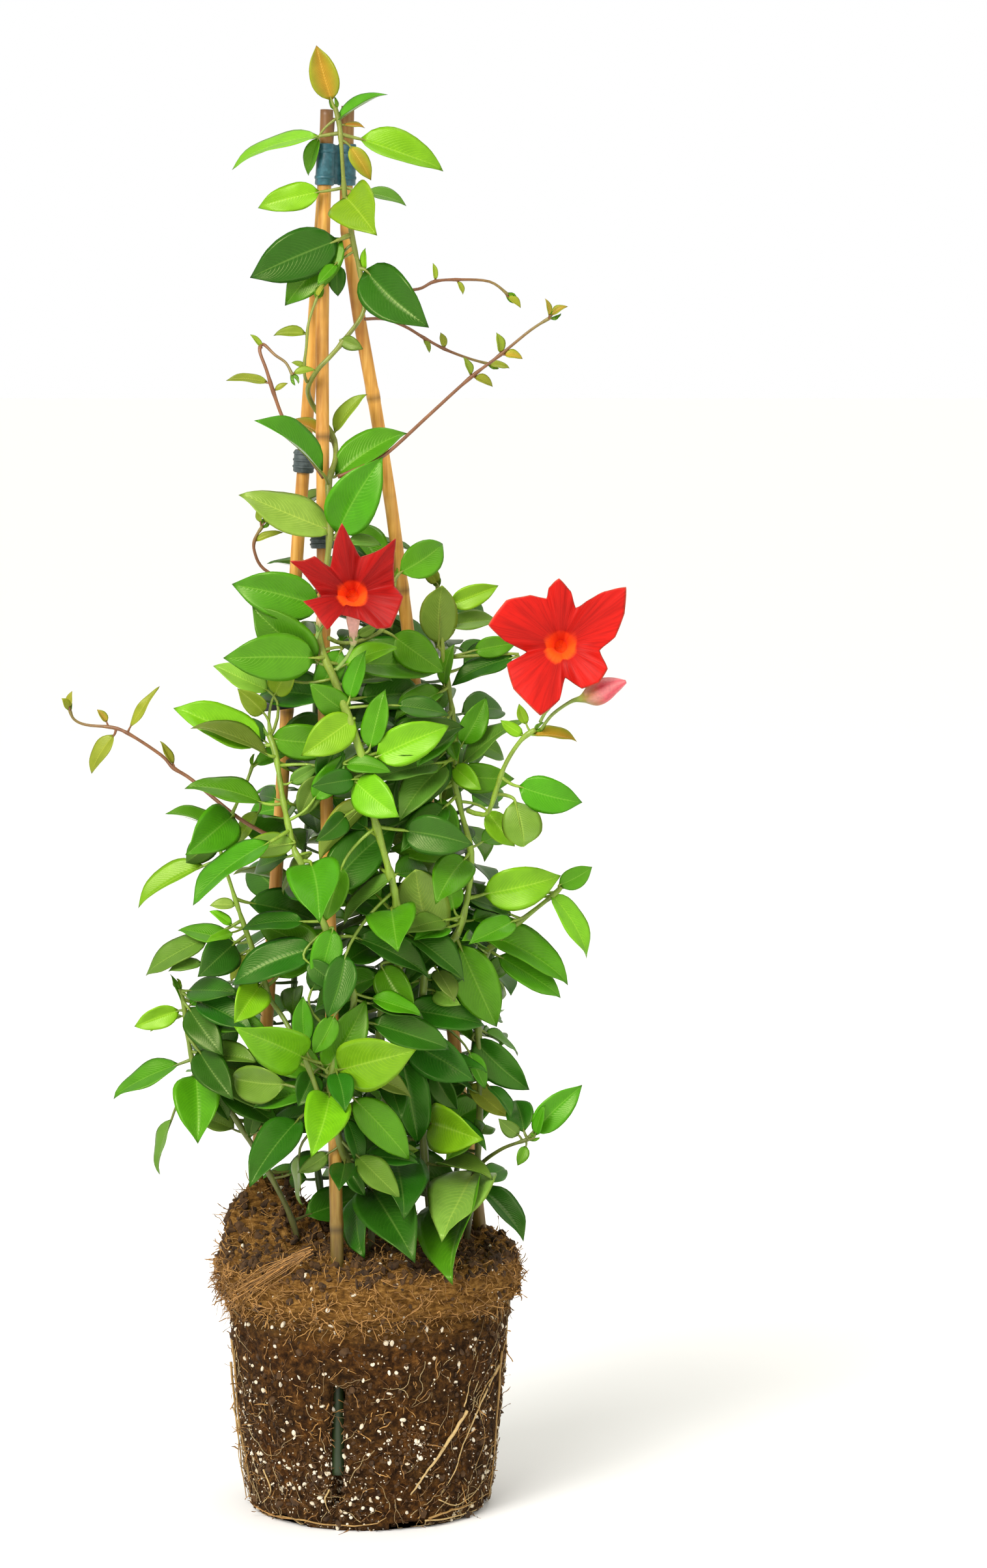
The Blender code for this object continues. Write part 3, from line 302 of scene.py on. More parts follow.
def build_soil():
    """Peat of the ball: flat foot, side and top in one skin, with its crowds as attributes"""
    columns = 380
    foot = [(r, 0.0) for r in (4, 20, 40, 52, 58, 62)]
    side = [(None, i * 1.15) for i in range(122)]
    top = [(78 - i * 1.35, None) for i in range(57)]
    rows = foot + side + top
    verts, crowds = [], []
    for r, z in rows:
        for k in range(columns):
            a = 2 * math.pi * k / columns
            if r is None:
                point = side_point(a, z)
            elif z is None:
                point = top_point(a, r)
            else:
                point = (r * math.cos(a), r * math.sin(a), 0.0)
            verts.append(Vector(point) * MM)
            crowds.append(crowds_at(a, *point, r is None, z is not None and z < 6))
    build = Build()
    build.put(verts, wall(len(rows), columns) + caps(len(rows), columns))
    piece = build.make("root_ball_soil", [soil_material()])
    for name, values in zip(("grit", "frayed", "loose"), zip(*crowds)):
        piece.data.attributes.new(name, "FLOAT", "POINT").data.foreach_set("value", values)
    return piece


soil = build_soil()
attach(soil, "root")
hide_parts("root_ball")


# --- Perlite, crumbs and fibres of the ball ---
# White perlite and dark crumbs sit in the peat, coir fibres bristle from the lip and a fine mat lies on the side.
# Each kind is strewn over the soil where its own share of the surface says, and stays part of the ball.


def keep_on_floor(mesh):
    """Nothing reaches below the flat foot of the ball"""
    flat = [0.0] * (len(mesh.vertices) * 3)
    mesh.vertices.foreach_get("co", flat)
    flat[2::3] = [max(z, 0.0) for z in flat[2::3]]
    mesh.vertices.foreach_set("co", flat)
    mesh.update()


def scatter(name, crowd, density, seed, make_shape, sizes, lean, look):
    """Geometry Nodes: shapes strewn over the soil by its crowd attribute, bent, and made a mesh"""
    tree = bpy.data.node_groups.new(name, "GeometryNodeTree")
    given = {"Soil": ("Geometry", None), "Density": ("Float", density), "Seed": ("Int", seed),
             "Smallest": ("Vector", sizes[0]), "Largest": ("Vector", sizes[1]),
             "Bend": ("Float", 0.0040 if lean else 0.0009)}
    known = {label: tree.interface.new_socket(label, in_out="INPUT", socket_type="NodeSocket" + kind).identifier
             for label, (kind, value) in given.items()}
    tree.interface.new_socket("Strewn", in_out="OUTPUT", socket_type="NodeSocketGeometry")
    source = node(tree, "NodeGroupInput").outputs
    share = node(tree, "GeometryNodeInputNamedAttribute", {"Name": crowd}, data_type="FLOAT")
    points = node(tree, "GeometryNodeDistributePointsOnFaces", {
        "Mesh": source["Soil"], "Seed": source["Seed"],
        "Density": maths(tree, "MULTIPLY", share.outputs["Attribute"], source["Density"])}).outputs
    low, high = lean or (-math.pi, math.pi)
    turn = 0.3 if lean else math.pi
    spin = node(tree, "FunctionNodeRandomValue", {
        "Min": (low, -turn, -math.pi), "Max": (high, turn, math.pi),
        "Seed": maths(tree, "ADD", source["Seed"], 1)}, data_type="FLOAT_VECTOR").outputs[0]
    size = node(tree, "FunctionNodeRandomValue", {
        "Min": source["Smallest"], "Max": source["Largest"],
        "Seed": maths(tree, "ADD", source["Seed"], 2)}, data_type="FLOAT_VECTOR").outputs[0]
    if lean:
        euler = node(tree, "FunctionNodeEulerToRotation", {0: spin})
        spin = node(tree, "FunctionNodeRotateRotation", {0: points["Rotation"], 1: euler.outputs[0]},
                    rotation_space="LOCAL").outputs[0]
    place = node(tree, "GeometryNodeInstanceOnPoints", {
        "Points": points["Points"], "Instance": make_shape(tree), "Rotation": spin, "Scale": size})
    real = node(tree, "GeometryNodeRealizeInstances", {0: place.outputs[0]})
    # Every copy is bent its own way by a noise read where it lies
    wobble = node(tree, "ShaderNodeTexNoise", {
        "Vector": node(tree, "GeometryNodeInputPosition").outputs[0], "Scale": 260 if lean else 900})
    less = node(tree, "ShaderNodeVectorMath", {0: wobble.outputs["Color"], 1: (0.5, 0.5, 0.5)}, operation="SUBTRACT")
    shift = node(tree, "ShaderNodeVectorMath", {0: less.outputs[0], "Scale": source["Bend"]}, operation="SCALE")
    bent = node(tree, "GeometryNodeSetPosition", {"Geometry": real.outputs[0], "Offset": shift.outputs[0]})
    dressed = node(tree, "GeometryNodeSetMaterial", {"Geometry": bent.outputs[0], "Material": look})
    node(tree, "NodeGroupOutput", {0: dressed.outputs[0]})
    piece = bpy.data.objects.new(name, soil.data.copy())
    bpy.context.scene.collection.objects.link(piece)
    change = piece.modifiers.new("strew", "NODES")
    change.node_group = tree
    for label, (kind, value) in given.items():
        if value is not None:
            change[known[label]] = value
    mesh = bpy.data.meshes.new_from_object(piece.evaluated_get(bpy.context.evaluated_depsgraph_get()))
    piece.modifiers.remove(change)
    piece.data = mesh
    keep_on_floor(mesh)
    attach(piece, "root")


def pebble(tree, detail=2):
    return node(tree, "GeometryNodeMeshIcoSphere", {"Radius": 0.001, "Subdivisions": detail}).outputs["Mesh"]


def grain(tree):
    return pebble(tree, 1)


def strand(tree):
    line = node(tree, "GeometryNodeCurvePrimitiveLine", {"Start": (0, 0, -0.0015), "End": (0, 0, 0.010)})
    fine = node(tree, "GeometryNodeResampleCurve", {"Curve": line.outputs[0], "Count": 7})
    ring = node(tree, "GeometryNodeCurvePrimitiveCircle", {"Resolution": 3, "Radius": 0.00021})
    return node(tree, "GeometryNodeCurveToMesh", {
        "Curve": fine.outputs[0], "Profile Curve": ring.outputs[0], "Fill Caps": True}).outputs[0]


def plain_material(name, light, dark, roughness, scale):
    look = Finish(name, roughness)
    look.set("Base Color", look.ramp(look.noise(scale, 4, 0.65), (0.35, dark), (0.68, light)))
    return look.relief(look.noise(scale * 4, 3), 0.5, 0.0004)


perlite_look = plain_material("perlite", (0.86, 0.80, 0.68), (0.52, 0.42, 0.27), 0.85, 300)
crumb_look = plain_material("crumb", (0.100, 0.046, 0.012), (0.022, 0.0095, 0.0025), 0.95, 120)
fibre_look = plain_material("coir_fibre", (0.52, 0.275, 0.075), (0.16, 0.068, 0.014), 0.85, 45)
mat_look = plain_material("peat_fibre", (0.24, 0.110, 0.030), (0.045, 0.019, 0.005), 0.9, 60)
LYING = (1.20, 1.80)
BRISTLING = (0.55, 1.75)
scatter("perlite_grains", "grit", 7600, 4, pebble, ((0.7, 0.6, 0.5), (2.0, 1.7, 1.2)), None, perlite_look)
scatter("perlite_specks", "grit", 27000, 5, grain, ((0.22, 0.22, 0.2), (0.75, 0.7, 0.6)), None, perlite_look)
scatter("soil_crumbs", "loose", 52000, 9, grain, ((0.8, 0.8, 0.6), (3.6, 3.0, 2.4)), None, crumb_look)
scatter("side_crumbs", "grit", 26000, 19, grain, ((0.6, 0.6, 0.4), (1.8, 1.6, 1.2)), None, crumb_look)
scatter("side_mat", "grit", 30000, 21, strand, ((0.7, 0.7, 0.25), (1.1, 1.1, 0.75)), LYING, mat_look)
scatter("lip_fibres", "frayed", 62000, 14, strand, ((0.8, 0.8, 0.3), (1.6, 1.6, 1.1)), BRISTLING, fibre_look)
scatter("top_fibres", "loose", 26000, 24, strand, ((0.8, 0.8, 0.3), (1.4, 1.4, 1.0)), BRISTLING, fibre_look)


# --- Roots on the ball ---
# Pale woody roots that ran round the inside of the pot and now lie on the side of the ball.
# Most lie low down and on the flanks, each a hair above the soil, and a hank of coir hangs over the lip at the left.


def spline(a, b, c, d, t):
    """Point between b and c of the Catmull-Rom curve through four points"""
    t2, t3 = t * t, t * t * t
    return (b * 2 + (c - a) * t + (a * 2 - b * 5 + c * 4 - d) * t2 + (b * 3 - a - c * 3 + d) * t3) * 0.5


def smooth_route(points, steps):
    """Curve through points, with the share of the way at each of its own points"""
    out = []
    n = len(points)
    for i in range(n - 1):
        near = (points[max(i - 1, 0)], points[i], points[i + 1], points[min(i + 2, n - 1)])
        for k in range(steps):
            t = k / steps
            out.append((spline(*near, t), (i + t) / (n - 1)))
    out.append((points[-1], 1.0))
    return out


def hose(path, radii, sides):
    """Closed tube: verts, faces, and the share of the way for each vert"""
    verts, shares = [], []
    side = None
    n = len(path)
    for i, p in enumerate(path):
        along = (path[min(i + 1, n - 1)] - path[max(i - 1, 0)]).normalized()
        if side is None:
            side = along.cross(Vector((0.1, 1, 0.05))).normalized()
        side = (side - along * side.dot(along)).normalized()
        other = along.cross(side)
        for k in range(sides):
            a = 2 * math.pi * k / sides
            verts.append(p + (side * math.cos(a) + other * math.sin(a)) * radii[i])
            shares.append(i / (n - 1))
    return verts, wall(n, sides) + caps(n, sides), shares


def shade(tone, amount):
    return tuple(max(c * amount, 0.0) for c in tone)


def blend(a, b, t):
    return tuple(x + (y - x) * t for x, y in zip(a, b))


def toned_material(name, roughness, scale, amount):
    """Each strand's own tone with a darker mottle, for roots and buds"""
    look = Finish(name, roughness)
    spots = look.noise(scale, 4, 0.65)
    look.set("Base Color", look.multiply(look.tone(), (1 - amount,) * 3, look.ramp(spots, (0.35, 0.0), (0.7, 1.0))))
    return look.relief(spots, 0.5, 0.0005)


root_look = toned_material("root_skin", 0.7, 420, 0.35)


def ball_spot(angle, z, lift=0.0):
    """Point on the ball's side"""
    r = ball_radius(z) + lift
    return Vector((r * math.cos(angle), r * math.sin(angle), z)) * MM


def on_ball(x, z, lift):
    """Point on the front of the ball from where it is seen"""
    y = -70
    for i in range(6):
        p = seen(x, z, y)
        r = (ball_radius(max(p.z, 0) / MM) + lift) * MM
        y = -math.sqrt(max(r * r - p.x * p.x, 1e-6)) / MM
    return seen(x, z, y)


def build_roots():
    """Roots running over the side: listed ones in front, then fine ones that wander all round"""
    chance = random.Random(31)
    build = Build()
    pale, tan, coir = (0.54, 0.37, 0.15), (0.38, 0.22, 0.065), (0.44, 0.22, 0.060)

    def lay(spots, radius, tone, sides):
        route = smooth_route(spots, 4)
        shake = min(radius * 0.5, 0.00025)
        path = [p + Vector([chance.uniform(-1, 1) for i in range(3)]) * shake for p, share in route]
        radii = [radius * (1.05 - 0.70 * share) * chance.uniform(0.85, 1.12) for p, share in route]
        verts, faces, shares = hose(path, radii, sides)
        build.put(verts, faces, tone)

    # Each root in front: its spots as they are seen, its radius and its tone
    front = (
        (((53.8, 50), (49.2, 42.7), (42.4, 30.9), (36.9, 22.8), (31.9, 16.1), (26.6, 8.1), (22.6, 2.3)),
         0.00105, pale),
        (((71.2, 75.6), (63, 58.3), (56.9, 43.7), (51.7, 31.1), (47.1, 16.5), (39.9, 3.9)), 0.00060, pale),
        (((72.8, 83.5), (70.7, 56.3), (69.2, 35.3), (67.6, 14.4), (65.6, 1.8)), 0.00070, tan),
        (((74.8, 89.7), (70.7, 73), (64.5, 64.6), (60.4, 52.1), (63.5, 35.3), (58.4, 18.6)), 0.00045, tan),
        (((32.7, -11.2), (42.4, -7.3), (54.8, -3.1), (65.1, 3.4)), 0.00065, tan),
        (((30.7, -12.3), (46.1, -10.2), (60.4, -5.2)), 0.00055, pale),
        (((37.9, -0.2), (47.1, -3.4), (56.3, 1.8), (62.5, 10.2)), 0.00040, pale),
        (((-59.6, -8.1), (-41.1, -11.2), (-20.1, -14.9), (1, -14.4), (9.2, -10.2)), 0.00060, tan),
        (((-63.7, -3.4), (-52.4, -9.7), (-36, -11.8)), 0.00045, coir),
        (((-76, 77.2), (-74.2, 56.3), (-72.2, 35.3), (-70.3, 16.5), (-67.8, 0.8)), 0.00070, tan),
        (((-75, 52.1), (-71.9, 39.5), (-72.4, 24.9), (-68.8, 12.3)), 0.00045, pale),
        (((-58.5, 16.5), (-54.4, 5), (-59.6, -2.3)), 0.00050, pale),
        (((-22.6, 5), (-24.7, -1.3), (-21.6, -8.6)), 0.00050, pale),
        (((52.2, 52.1), (53.8, 58.3), (55.3, 66.7)), 0.00040, pale),
    )
    for spots, radius, tone in front:
        lay([on_ball(x, z, 0.8) for x, z in spots], radius, tone, 8)
    # The same on the sides and the back, by angle in degrees and height
    behind = (
        (((10, 100), (6, 74), (12, 46), (4, 20)), 0.0008), (((30, 90), (40, 60), (34, 30), (44, 8)), 0.0010),
        (((90, 100), (96, 66), (88, 34), (100, 10)), 0.0009), (((140, 84), (132, 52), (142, 24)), 0.0010),
        (((188, 96), (194, 74), (190, 50), (199, 24), (196, 6)), 0.0008),
        (((60, 8), (84, 5), (110, 6), (128, 9)), 0.0008),
    )
    for spots, radius in behind:
        lay([ball_spot(math.radians(a), z, 0.8) for a, z in spots], radius, shade(tan, chance.uniform(0.8, 1.2)), 8)
    for i in range(330):
        angle = chance.uniform(-math.pi, math.pi)
        # Few show in the middle of the front, more low down and on the flanks
        middle = abs(math.degrees(angle) + 100) < 48
        z = chance.random() ** 1.5 * 112 + 3
        if middle and chance.random() < 0.35:
            angle = math.radians(chance.choice((-22, 205, 100)) + chance.uniform(-20, 20))
        heading = chance.uniform(-0.8, 0.8) - math.pi / 2 + (math.pi if chance.random() < 0.3 else 0)
        spots = []
        step = chance.uniform(1.6, 3.4) if middle else chance.uniform(2.2, 5.5)
        for k in range(chance.randint(4, 11)):
            spots.append(ball_spot(angle, z, 0.30 + 0.45 * math.sin(k * 1.9 + i)))
            heading += chance.uniform(-0.6, 0.6)
            angle += math.cos(heading) * step / 72
            z = min(max(z + math.sin(heading) * step, 1.5), 118)
        tone = blend((0.46, 0.34, 0.16), (0.20, 0.115, 0.040), chance.random())
        lay(spots, chance.uniform(0.00014, 0.00034), tone, 4)
    # A frayed hank of coir hangs over the lip at the left
    for i in range(26):
        slip, drop = chance.uniform(-7, 7), chance.uniform(-3.2, 3.2)
        long = chance.uniform(0.35, 1.08)
        spots = []
        first = chance.choice((0, 0, 8, 18, 30))
        for k, (x, z) in enumerate(((-32, 140), (-43, 134.7), (-51, 130), (-66, 121.6), (-78, 113.3), (-85, 105))):
            x = lerp(-32 - first, x, long)
            z = lerp(140 - first * 0.62, z, long) + chance.uniform(-0.9, 0.9)
            loose = 0.5 + 0.35 * k
            p = on_ball(min(max(x + slip * 0.5 * loose, -84), 0), z + drop * loose, 3.2 + chance.uniform(-0.8, 1.4))
            p.x = max(p.x, -0.090)
            spots.append(p)
        lay(spots, chance.uniform(0.00018, 0.00042), shade(coir, chance.uniform(0.45, 1.3)), 4)
    # Loose strands off the lip
    for i in range(120):
        angle = chance.uniform(-math.pi, math.pi)
        if chance.random() < 0.4:
            angle = math.radians(chance.choice((180, 195, 210)) + chance.uniform(-18, 18))
        z = chance.uniform(114, 142)
        spots = []
        out = 1.0
        for k in range(6):
            spots.append(ball_spot(angle, z, out))
            angle += chance.uniform(-0.07, 0.07)
            z = min(z + chance.uniform(-4.5, 1.2), 146)
            out = min(out + chance.uniform(-0.6, 1.3), 5.0)
        lay(spots, chance.uniform(0.00018, 0.00040), shade(coir, chance.uniform(0.5, 1.3)), 4)
    for v in build.verts:
        v.z = max(v.z, 0.0004)
    return build.make("side_roots", [root_look])


roots = build_roots()
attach(roots, "root")


# --- Bamboo canes ---
# Three thin bamboo canes pushed into the ball and leaning together at the top. The skin is yellow
# to brown with lengthwise streaks, and each joint has a swollen ring with a dark line under it.
CANE_RADIUS = 3.6
CANES = {
    "front": ((-20.5, 759, -7), (-22.4, 700, -11.4), (-23.5, 640, -16), (-23.5, 450, -31), (-19, 230, -47),
              (-17.5, 142, -54), (-17, 14, -64)),
    "left": ((-19.5, 755, 5), (-34, 566, 9), (-36.6, 535, 10), (-61, 185, 19), (-64, 142, 20), (-66, 108, 21)),
    "right": ((-9.3, 761, 1), (-10.7, 700, 2.5), (-4, 650, 4.5), (5, 600, 7), (13, 550, 9), (25, 458, 13),
              (49.6, 230, 22), (56.6, 190, 24), (62, 142, 26), (65, 106, 27)),
}


def finish_shell(piece):
    """Faces all outward"""
    made = bmesh.new()
    made.from_mesh(piece.data)
    bmesh.ops.recalc_face_normals(made, faces=made.faces)
    if made.calc_volume(signed=True) < 0:
        bmesh.ops.reverse_faces(made, faces=made.faces)
    made.to_mesh(piece.data)
    made.free()


def cane_path(name):
    return [seen(*p) for p in CANES[name]]


def cane_material(top):
    """Bamboo: orange-brown with long grain, dark rings at the joints, dark top and stained foot"""
    look = Finish("bamboo", 0.45)
    z = look.axes(look.place())["Z"]
    grain = look.noise(420, 4, 0.6, stretch=(1, 1, 0.035))
    patches = look.noise(26, 3, 0.5, stretch=(1, 1, 0.5))
    body = look.ramp(grain, (0.25, (0.40, 0.150, 0.016)), (0.5, (0.62, 0.300, 0.045)), (0.75, (0.78, 0.46, 0.11)))
    body = look.multiply(body, (0.42, 0.30, 0.20), look.ramp(patches, (0.45, 0.0), (0.72, 0.8)))
    body = look.mix(body, (0.085, 0.035, 0.018), look.ramp(z, (top - 0.055, 0.0), (top, 0.85)))
    stained = look.multiply(body, (0.30, 0.42, 0.40))
    body = look.mix(body, stained, look.ramp(z, (0.150, 1.0), (0.260, 0.0)))
    body = look.mix(body, (0.014, 0.028, 0.006), look.ramp(z, (0.105, 1.0), (0.150, 0.0)))
    look.set("Base Color", look.multiply(body, look.tone()))
    return look.relief(grain, 0.35, 0.0004)


def fine_cane(name, joints, seed):
    """Bamboo cane: swollen joints with a dark ring, a slight taper and a sawn hollow top"""
    chance = random.Random(seed)
    points = cane_path(name)
    path = []
    for a, b in zip(points, points[1:]):
        steps = max(int((a - b).length / 0.003), 1)
        path.extend(a.lerp(b, k / steps) for k in range(steps))
    path.append(points[-1])
    # Corners of the route are eased out
    for turn in range(12):
        path = [path[0]] + [(a + b * 2 + c) / 4 for a, b, c in zip(path, path[1:], path[2:])] + [path[-1]]
    top = points[0].z
    radii, tones = [], []
    for p in path:
        r = CANE_RADIUS * MM * (1 - 0.05 * (p.z - 0.1))
        tone = 1.0
        for joint in joints:
            d = (p.z - joint) / 0.0022
            r += 0.00042 * math.exp(-d * d)
            tone *= 1 - 0.55 * math.exp(-((p.z - joint + 0.0018) / 0.0012) ** 2)
        radii.append(r)
        tones.append(tone * chance.uniform(0.93, 1.05))
    sides = 22
    verts, faces, shares = hose(path, radii, sides)
    faces.remove(tuple(range(sides - 1, -1, -1)))
    # The sawn end: the rim turns in and down into the pith
    start = len(verts)
    along = (path[0] - path[1]).normalized()
    for share, down in ((0.62, 0.0), (0.50, 0.0014), (0.02, 0.0022)):
        verts += [path[0] + (verts[k] - path[0]) * share - along * down for k in range(sides)]
    rings = [0, start, start + sides, start + sides * 2]
    for a, b in zip(rings, rings[1:]):
        for k in range(sides):
            k2 = (k + 1) % sides
            faces.append((a + k2, a + k, b + k, b + k2))
    faces.append(tuple(start + sides * 2 + k for k in range(sides - 1, -1, -1)))
    skin = [(tone,) * 3 for tone in tones for k in range(sides)]
    build = Build()
    # The cut rim is pale and the hollow below it is painted dark as shade in the hole
    build.put(verts, faces, skin + [(0.9, 0.8, 0.7)] * sides + [(0.25, 0.2, 0.15)] * sides * 2)
    piece = build.make(f"cane_{name}_bamboo", [cane_material(top)])
    finish_shell(piece)
    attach(piece, "root")
    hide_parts(f"cane_{name}")


fine_cane("front", (0.165, 0.262, 0.371, 0.484, 0.588, 0.672), 1)
fine_cane("left", (0.205, 0.318, 0.437, 0.548, 0.664, 0.722), 2)
fine_cane("right", (0.188, 0.296, 0.402, 0.503, 0.607, 0.695), 3)


# --- Clip, ties and loop ---
# A dark moulded clip of three rings with bridges holds the canes together at the top, dark ties grip single canes
# lower down, and a black plastic strap lies in a loop round the left cane.
CLIP = (719, 741)
RING_BORE, CLIP_RIM = 0.0039, 0.0049
TIES = {
    "tie_left": ("left", 566, 578, 5.6),
    "tie_front": ("front", 525, 533, 6.6),
}
LOOP = (-48.5, 441.5, 12, 13, 10)
LOOP_RADIUS = 1.6


def on_cane(name, z):
    route = CANES[name]
    for a, b in zip(route, route[1:]):
        if b[1] <= z <= a[1]:
            t = (z - a[1]) / (b[1] - a[1])
            return seen(lerp(a[0], b[0], t), z, lerp(a[2], b[2], t))
    return seen(*route[0])


def ring_shape(low, high, inner, outer, bevel, sides=30):
    """Closed ring with eased edges between two points on a cane"""
    along = (high - low).normalized()
    side = along.cross(Vector((0, 1, 0))).normalized()
    other = along.cross(side)
    length = (high - low).length
    section = ((inner, 0), (outer - bevel, 0), (outer, bevel),
               (outer, length - bevel), (outer - bevel, length), (inner, length))
    verts = []
    for r, h in section:
        for k in range(sides):
            a = 2 * math.pi * k / sides
            verts.append(low + along * h + (side * math.cos(a) + other * math.sin(a)) * r)
    return verts, wall(len(section), sides, closed=True)


def plastic_material(name, colour, roughness):
    """Moulded plastic with scuffs"""
    look = Finish(name, roughness)
    scuff = look.noise(320, 4)
    lighter = tuple(min(c * 1.8 + 0.02, 1) for c in colour)
    look.set("Base Color", look.ramp(scuff, (0.4, colour), (0.72, lighter)))
    look.set("Roughness", look.plus(roughness - 0.1, look.times(scuff, 0.25)))
    return look.relief(look.noise(1400, 2), 0.25, 0.0002)


clip_look = plastic_material("clip_plastic", (0.012, 0.075, 0.100), 0.42)
tie_look = plastic_material("tie_plastic", (0.035, 0.050, 0.052), 0.5)
black_look = plastic_material("black_plastic", (0.008, 0.009, 0.009), 0.45)
build = Build()
rings = []
for cane in CANES:
    low, high = on_cane(cane, CLIP[0]), on_cane(cane, CLIP[1])
    build.put(*ring_shape(low, high, RING_BORE, CLIP_RIM, 0.0005))
    for z in (CLIP[0] + 3, CLIP[1] - 5):
        build.put(*ring_shape(on_cane(cane, z), on_cane(cane, z + 2), CLIP_RIM - 0.0004, CLIP_RIM + 0.0004, 0.0004))
    rings.append((low, high))
for (a_low, a_high), (b_low, b_high) in ((rings[0], rings[1]), (rings[1], rings[2]), (rings[0], rings[2])):
    across = (b_low - a_low).normalized()
    normal = across.cross(Vector((0, 0, 1))).normalized()
    corners = []
    for low, high, sign in ((a_low, a_high, 1), (b_low, b_high, -1)):
        for end, lift in ((low, 0.0006), (high, -0.0006)):
            for thick in (0.0007, -0.0007):
                corners.append(end + across * sign * 0.0043 + normal * thick + Vector((0, 0, lift)))
    build.put(corners, [(0, 1, 3, 2), (4, 6, 7, 5), (0, 4, 5, 1), (2, 3, 7, 6), (0, 2, 6, 4), (1, 5, 7, 3)])
piece = build.make("clip_rings", [clip_look])
finish_shell(piece)
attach(piece, "root")
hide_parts("clip_top")
for name, (cane, low, high, radius) in TIES.items():
    build = Build()
    rim = radius * MM
    build.put(*ring_shape(on_cane(cane, low), on_cane(cane, high), RING_BORE, rim, 0.0006))
    for k in range(3):
        z = lerp(low, high, 0.2 + 0.3 * k)
        build.put(*ring_shape(on_cane(cane, z), on_cane(cane, z + 1.2), rim - 0.0004, rim + 0.0005, 0.0003))
    piece = build.make(name + "_band", [tie_look])
    finish_shell(piece)
    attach(piece, "root")
    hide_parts(name)
build = Build()
x, z, y, wide, deep = LOOP
middle = seen(x, z, y)
verts, faces = [], []
around, sides = 60, 12
for i in range(around):
    a = 2 * math.pi * i / around
    out = Vector((math.cos(a), math.sin(a), 0))
    spot = middle + Vector((wide * math.cos(a), deep * math.sin(a), 1.5 * math.cos(a))) * MM
    for k in range(sides):
        b = 2 * math.pi * k / sides
        verts.append(spot + (out * math.cos(b) * 0.7 + Vector((0, 0, 1.9 * math.sin(b)))) * LOOP_RADIUS * MM)
for i in range(around):
    for k in range(sides):
        i2, k2 = (i + 1) % around, (k + 1) % sides
        faces.append((i * sides + k, i2 * sides + k, i2 * sides + k2, i * sides + k2))
build.put(verts, faces)
piece = build.make("tie_loop_strap", [black_look])
finish_shell(piece)
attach(piece, "root")
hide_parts("tie_loop")


# --- Blooms ---
# Two red blooms, each one soft corolla: a funnel throat that opens into five broad lobes with drawn-out tips.
# The lobes are velvety with fine darker rays, and the throat is orange with painted shade at its top. Each rim is
# listed.
BLOOMS = {
    "flower_left": (
        (-8, 501, -72),
        ((19.6, 499, -82), (15, 505, -72), (14.6, 514, -75), (15, 522, -79), (15.8, 530.5, -83), (8, 525, -78),
         (-3.3, 520.5, -71), (-7.5, 528, -76), (-13.3, 538.8, -82), (-17.5, 529, -77), (-19.8, 515, -71),
         (-28, 521, -77), (-34, 518.5, -79), (-41.4, 518.4, -82), (-35.2, 512.5, -79), (-29, 505, -75),
         (-25, 499, -71), (-34.5, 496.6, -80), (-29, 491.5, -82), (-21.6, 481, -87), (-14, 489, -81),
         (-4, 486.5, -80), (5.4, 481.6, -86), (13, 482.5, -86), (16.5, 490, -84))),
    "flower_right": (
        (104.7, 473.7, -58),
        ((125.7, 470, -62), (134, 477, -64), (139, 490, -68), (139.8, 504.3, -70), (128, 502, -68),
         (119, 497, -62), (112.6, 493, -58), (110, 502, -60), (103.6, 509, -62), (98, 504, -60),
         (96.7, 498, -58), (88, 500, -62), (75, 497, -66), (65.4, 483.9, -68), (74, 475, -64),
         (86, 469, -58), (75.4, 462.4, -64), (79, 449, -70), (93.5, 434.6, -74), (104, 443, -68),
         (107, 455, -62), (116, 449, -68), (125.3, 452.5, -72), (130, 460, -68))),
}
BLOOM_ROWS = (0.16, 0.30, 0.62, 1.0)
PETAL_THICKNESS = 1.0
THROAT_DEPTH = 16
BLOOM_BACK = Vector((0, 1, -0.28)).normalized()


def petal_material():
    """Corolla: velvety, with fine darker rays along the lobes and a thin pale rim"""
    look = Finish("petal", 0.52, Sheen_Weight=0.04, Sheen_Roughness=0.4, Specular_IOR_Level=0.16)
    uv = node(look.tree, "ShaderNodeUVMap", uv_map="petal_uv").outputs["UV"]
    out = look.axes(uv)["Y"]
    drawn_out = node(look.tree, "ShaderNodeMapping", {"Vector": uv, "Scale": (150, 2.2, 1)})
    ray = node(look.tree, "ShaderNodeTexNoise", {"Vector": drawn_out.outputs["Vector"], "Scale": 1.0, "Detail": 3},
               noise_dimensions="2D").outputs["Fac"]
    body = look.multiply(look.tone(), (0.55, 0.35, 0.35), look.ramp(ray, (0.42, 0.0), (0.72, 0.55)))
    body = look.mix(body, look.tone(), look.ramp(out, (0.20, 1.0), (0.34, 0.0)))
    look.set("Base Color", look.mix(body, (0.85, 0.22, 0.12), look.ramp(out, (0.975, 0.0), (1.0, 0.5))))
    return look.relief(look.plus(ray, look.noise(120, 3)), 0.35, 0.0005)


def loft(rings):
    """Closed mesh through rings of points, used to keep leaves clear of each other"""
    verts, faces = [], []
    for ring, after in zip(rings, rings[1:] + [None]):
        start, n = len(verts), len(ring)
        verts.extend(ring)
        following = start + n
        for k in range(max(n, len(after)) if after else 0):
            k2 = (k + 1) % max(n, len(after))
            if len(after) == 1:
                faces.append((start + k, start + k2, following))
            else:
                faces.append((start + k, start + k2, following + k2, following + k))
    faces.append(tuple(reversed(range(len(rings[0])))))
    if len(rings[-1]) > 1:
        faces.append(tuple(len(verts) - len(rings[-1]) + k for k in range(len(rings[-1]))))
    return verts, faces


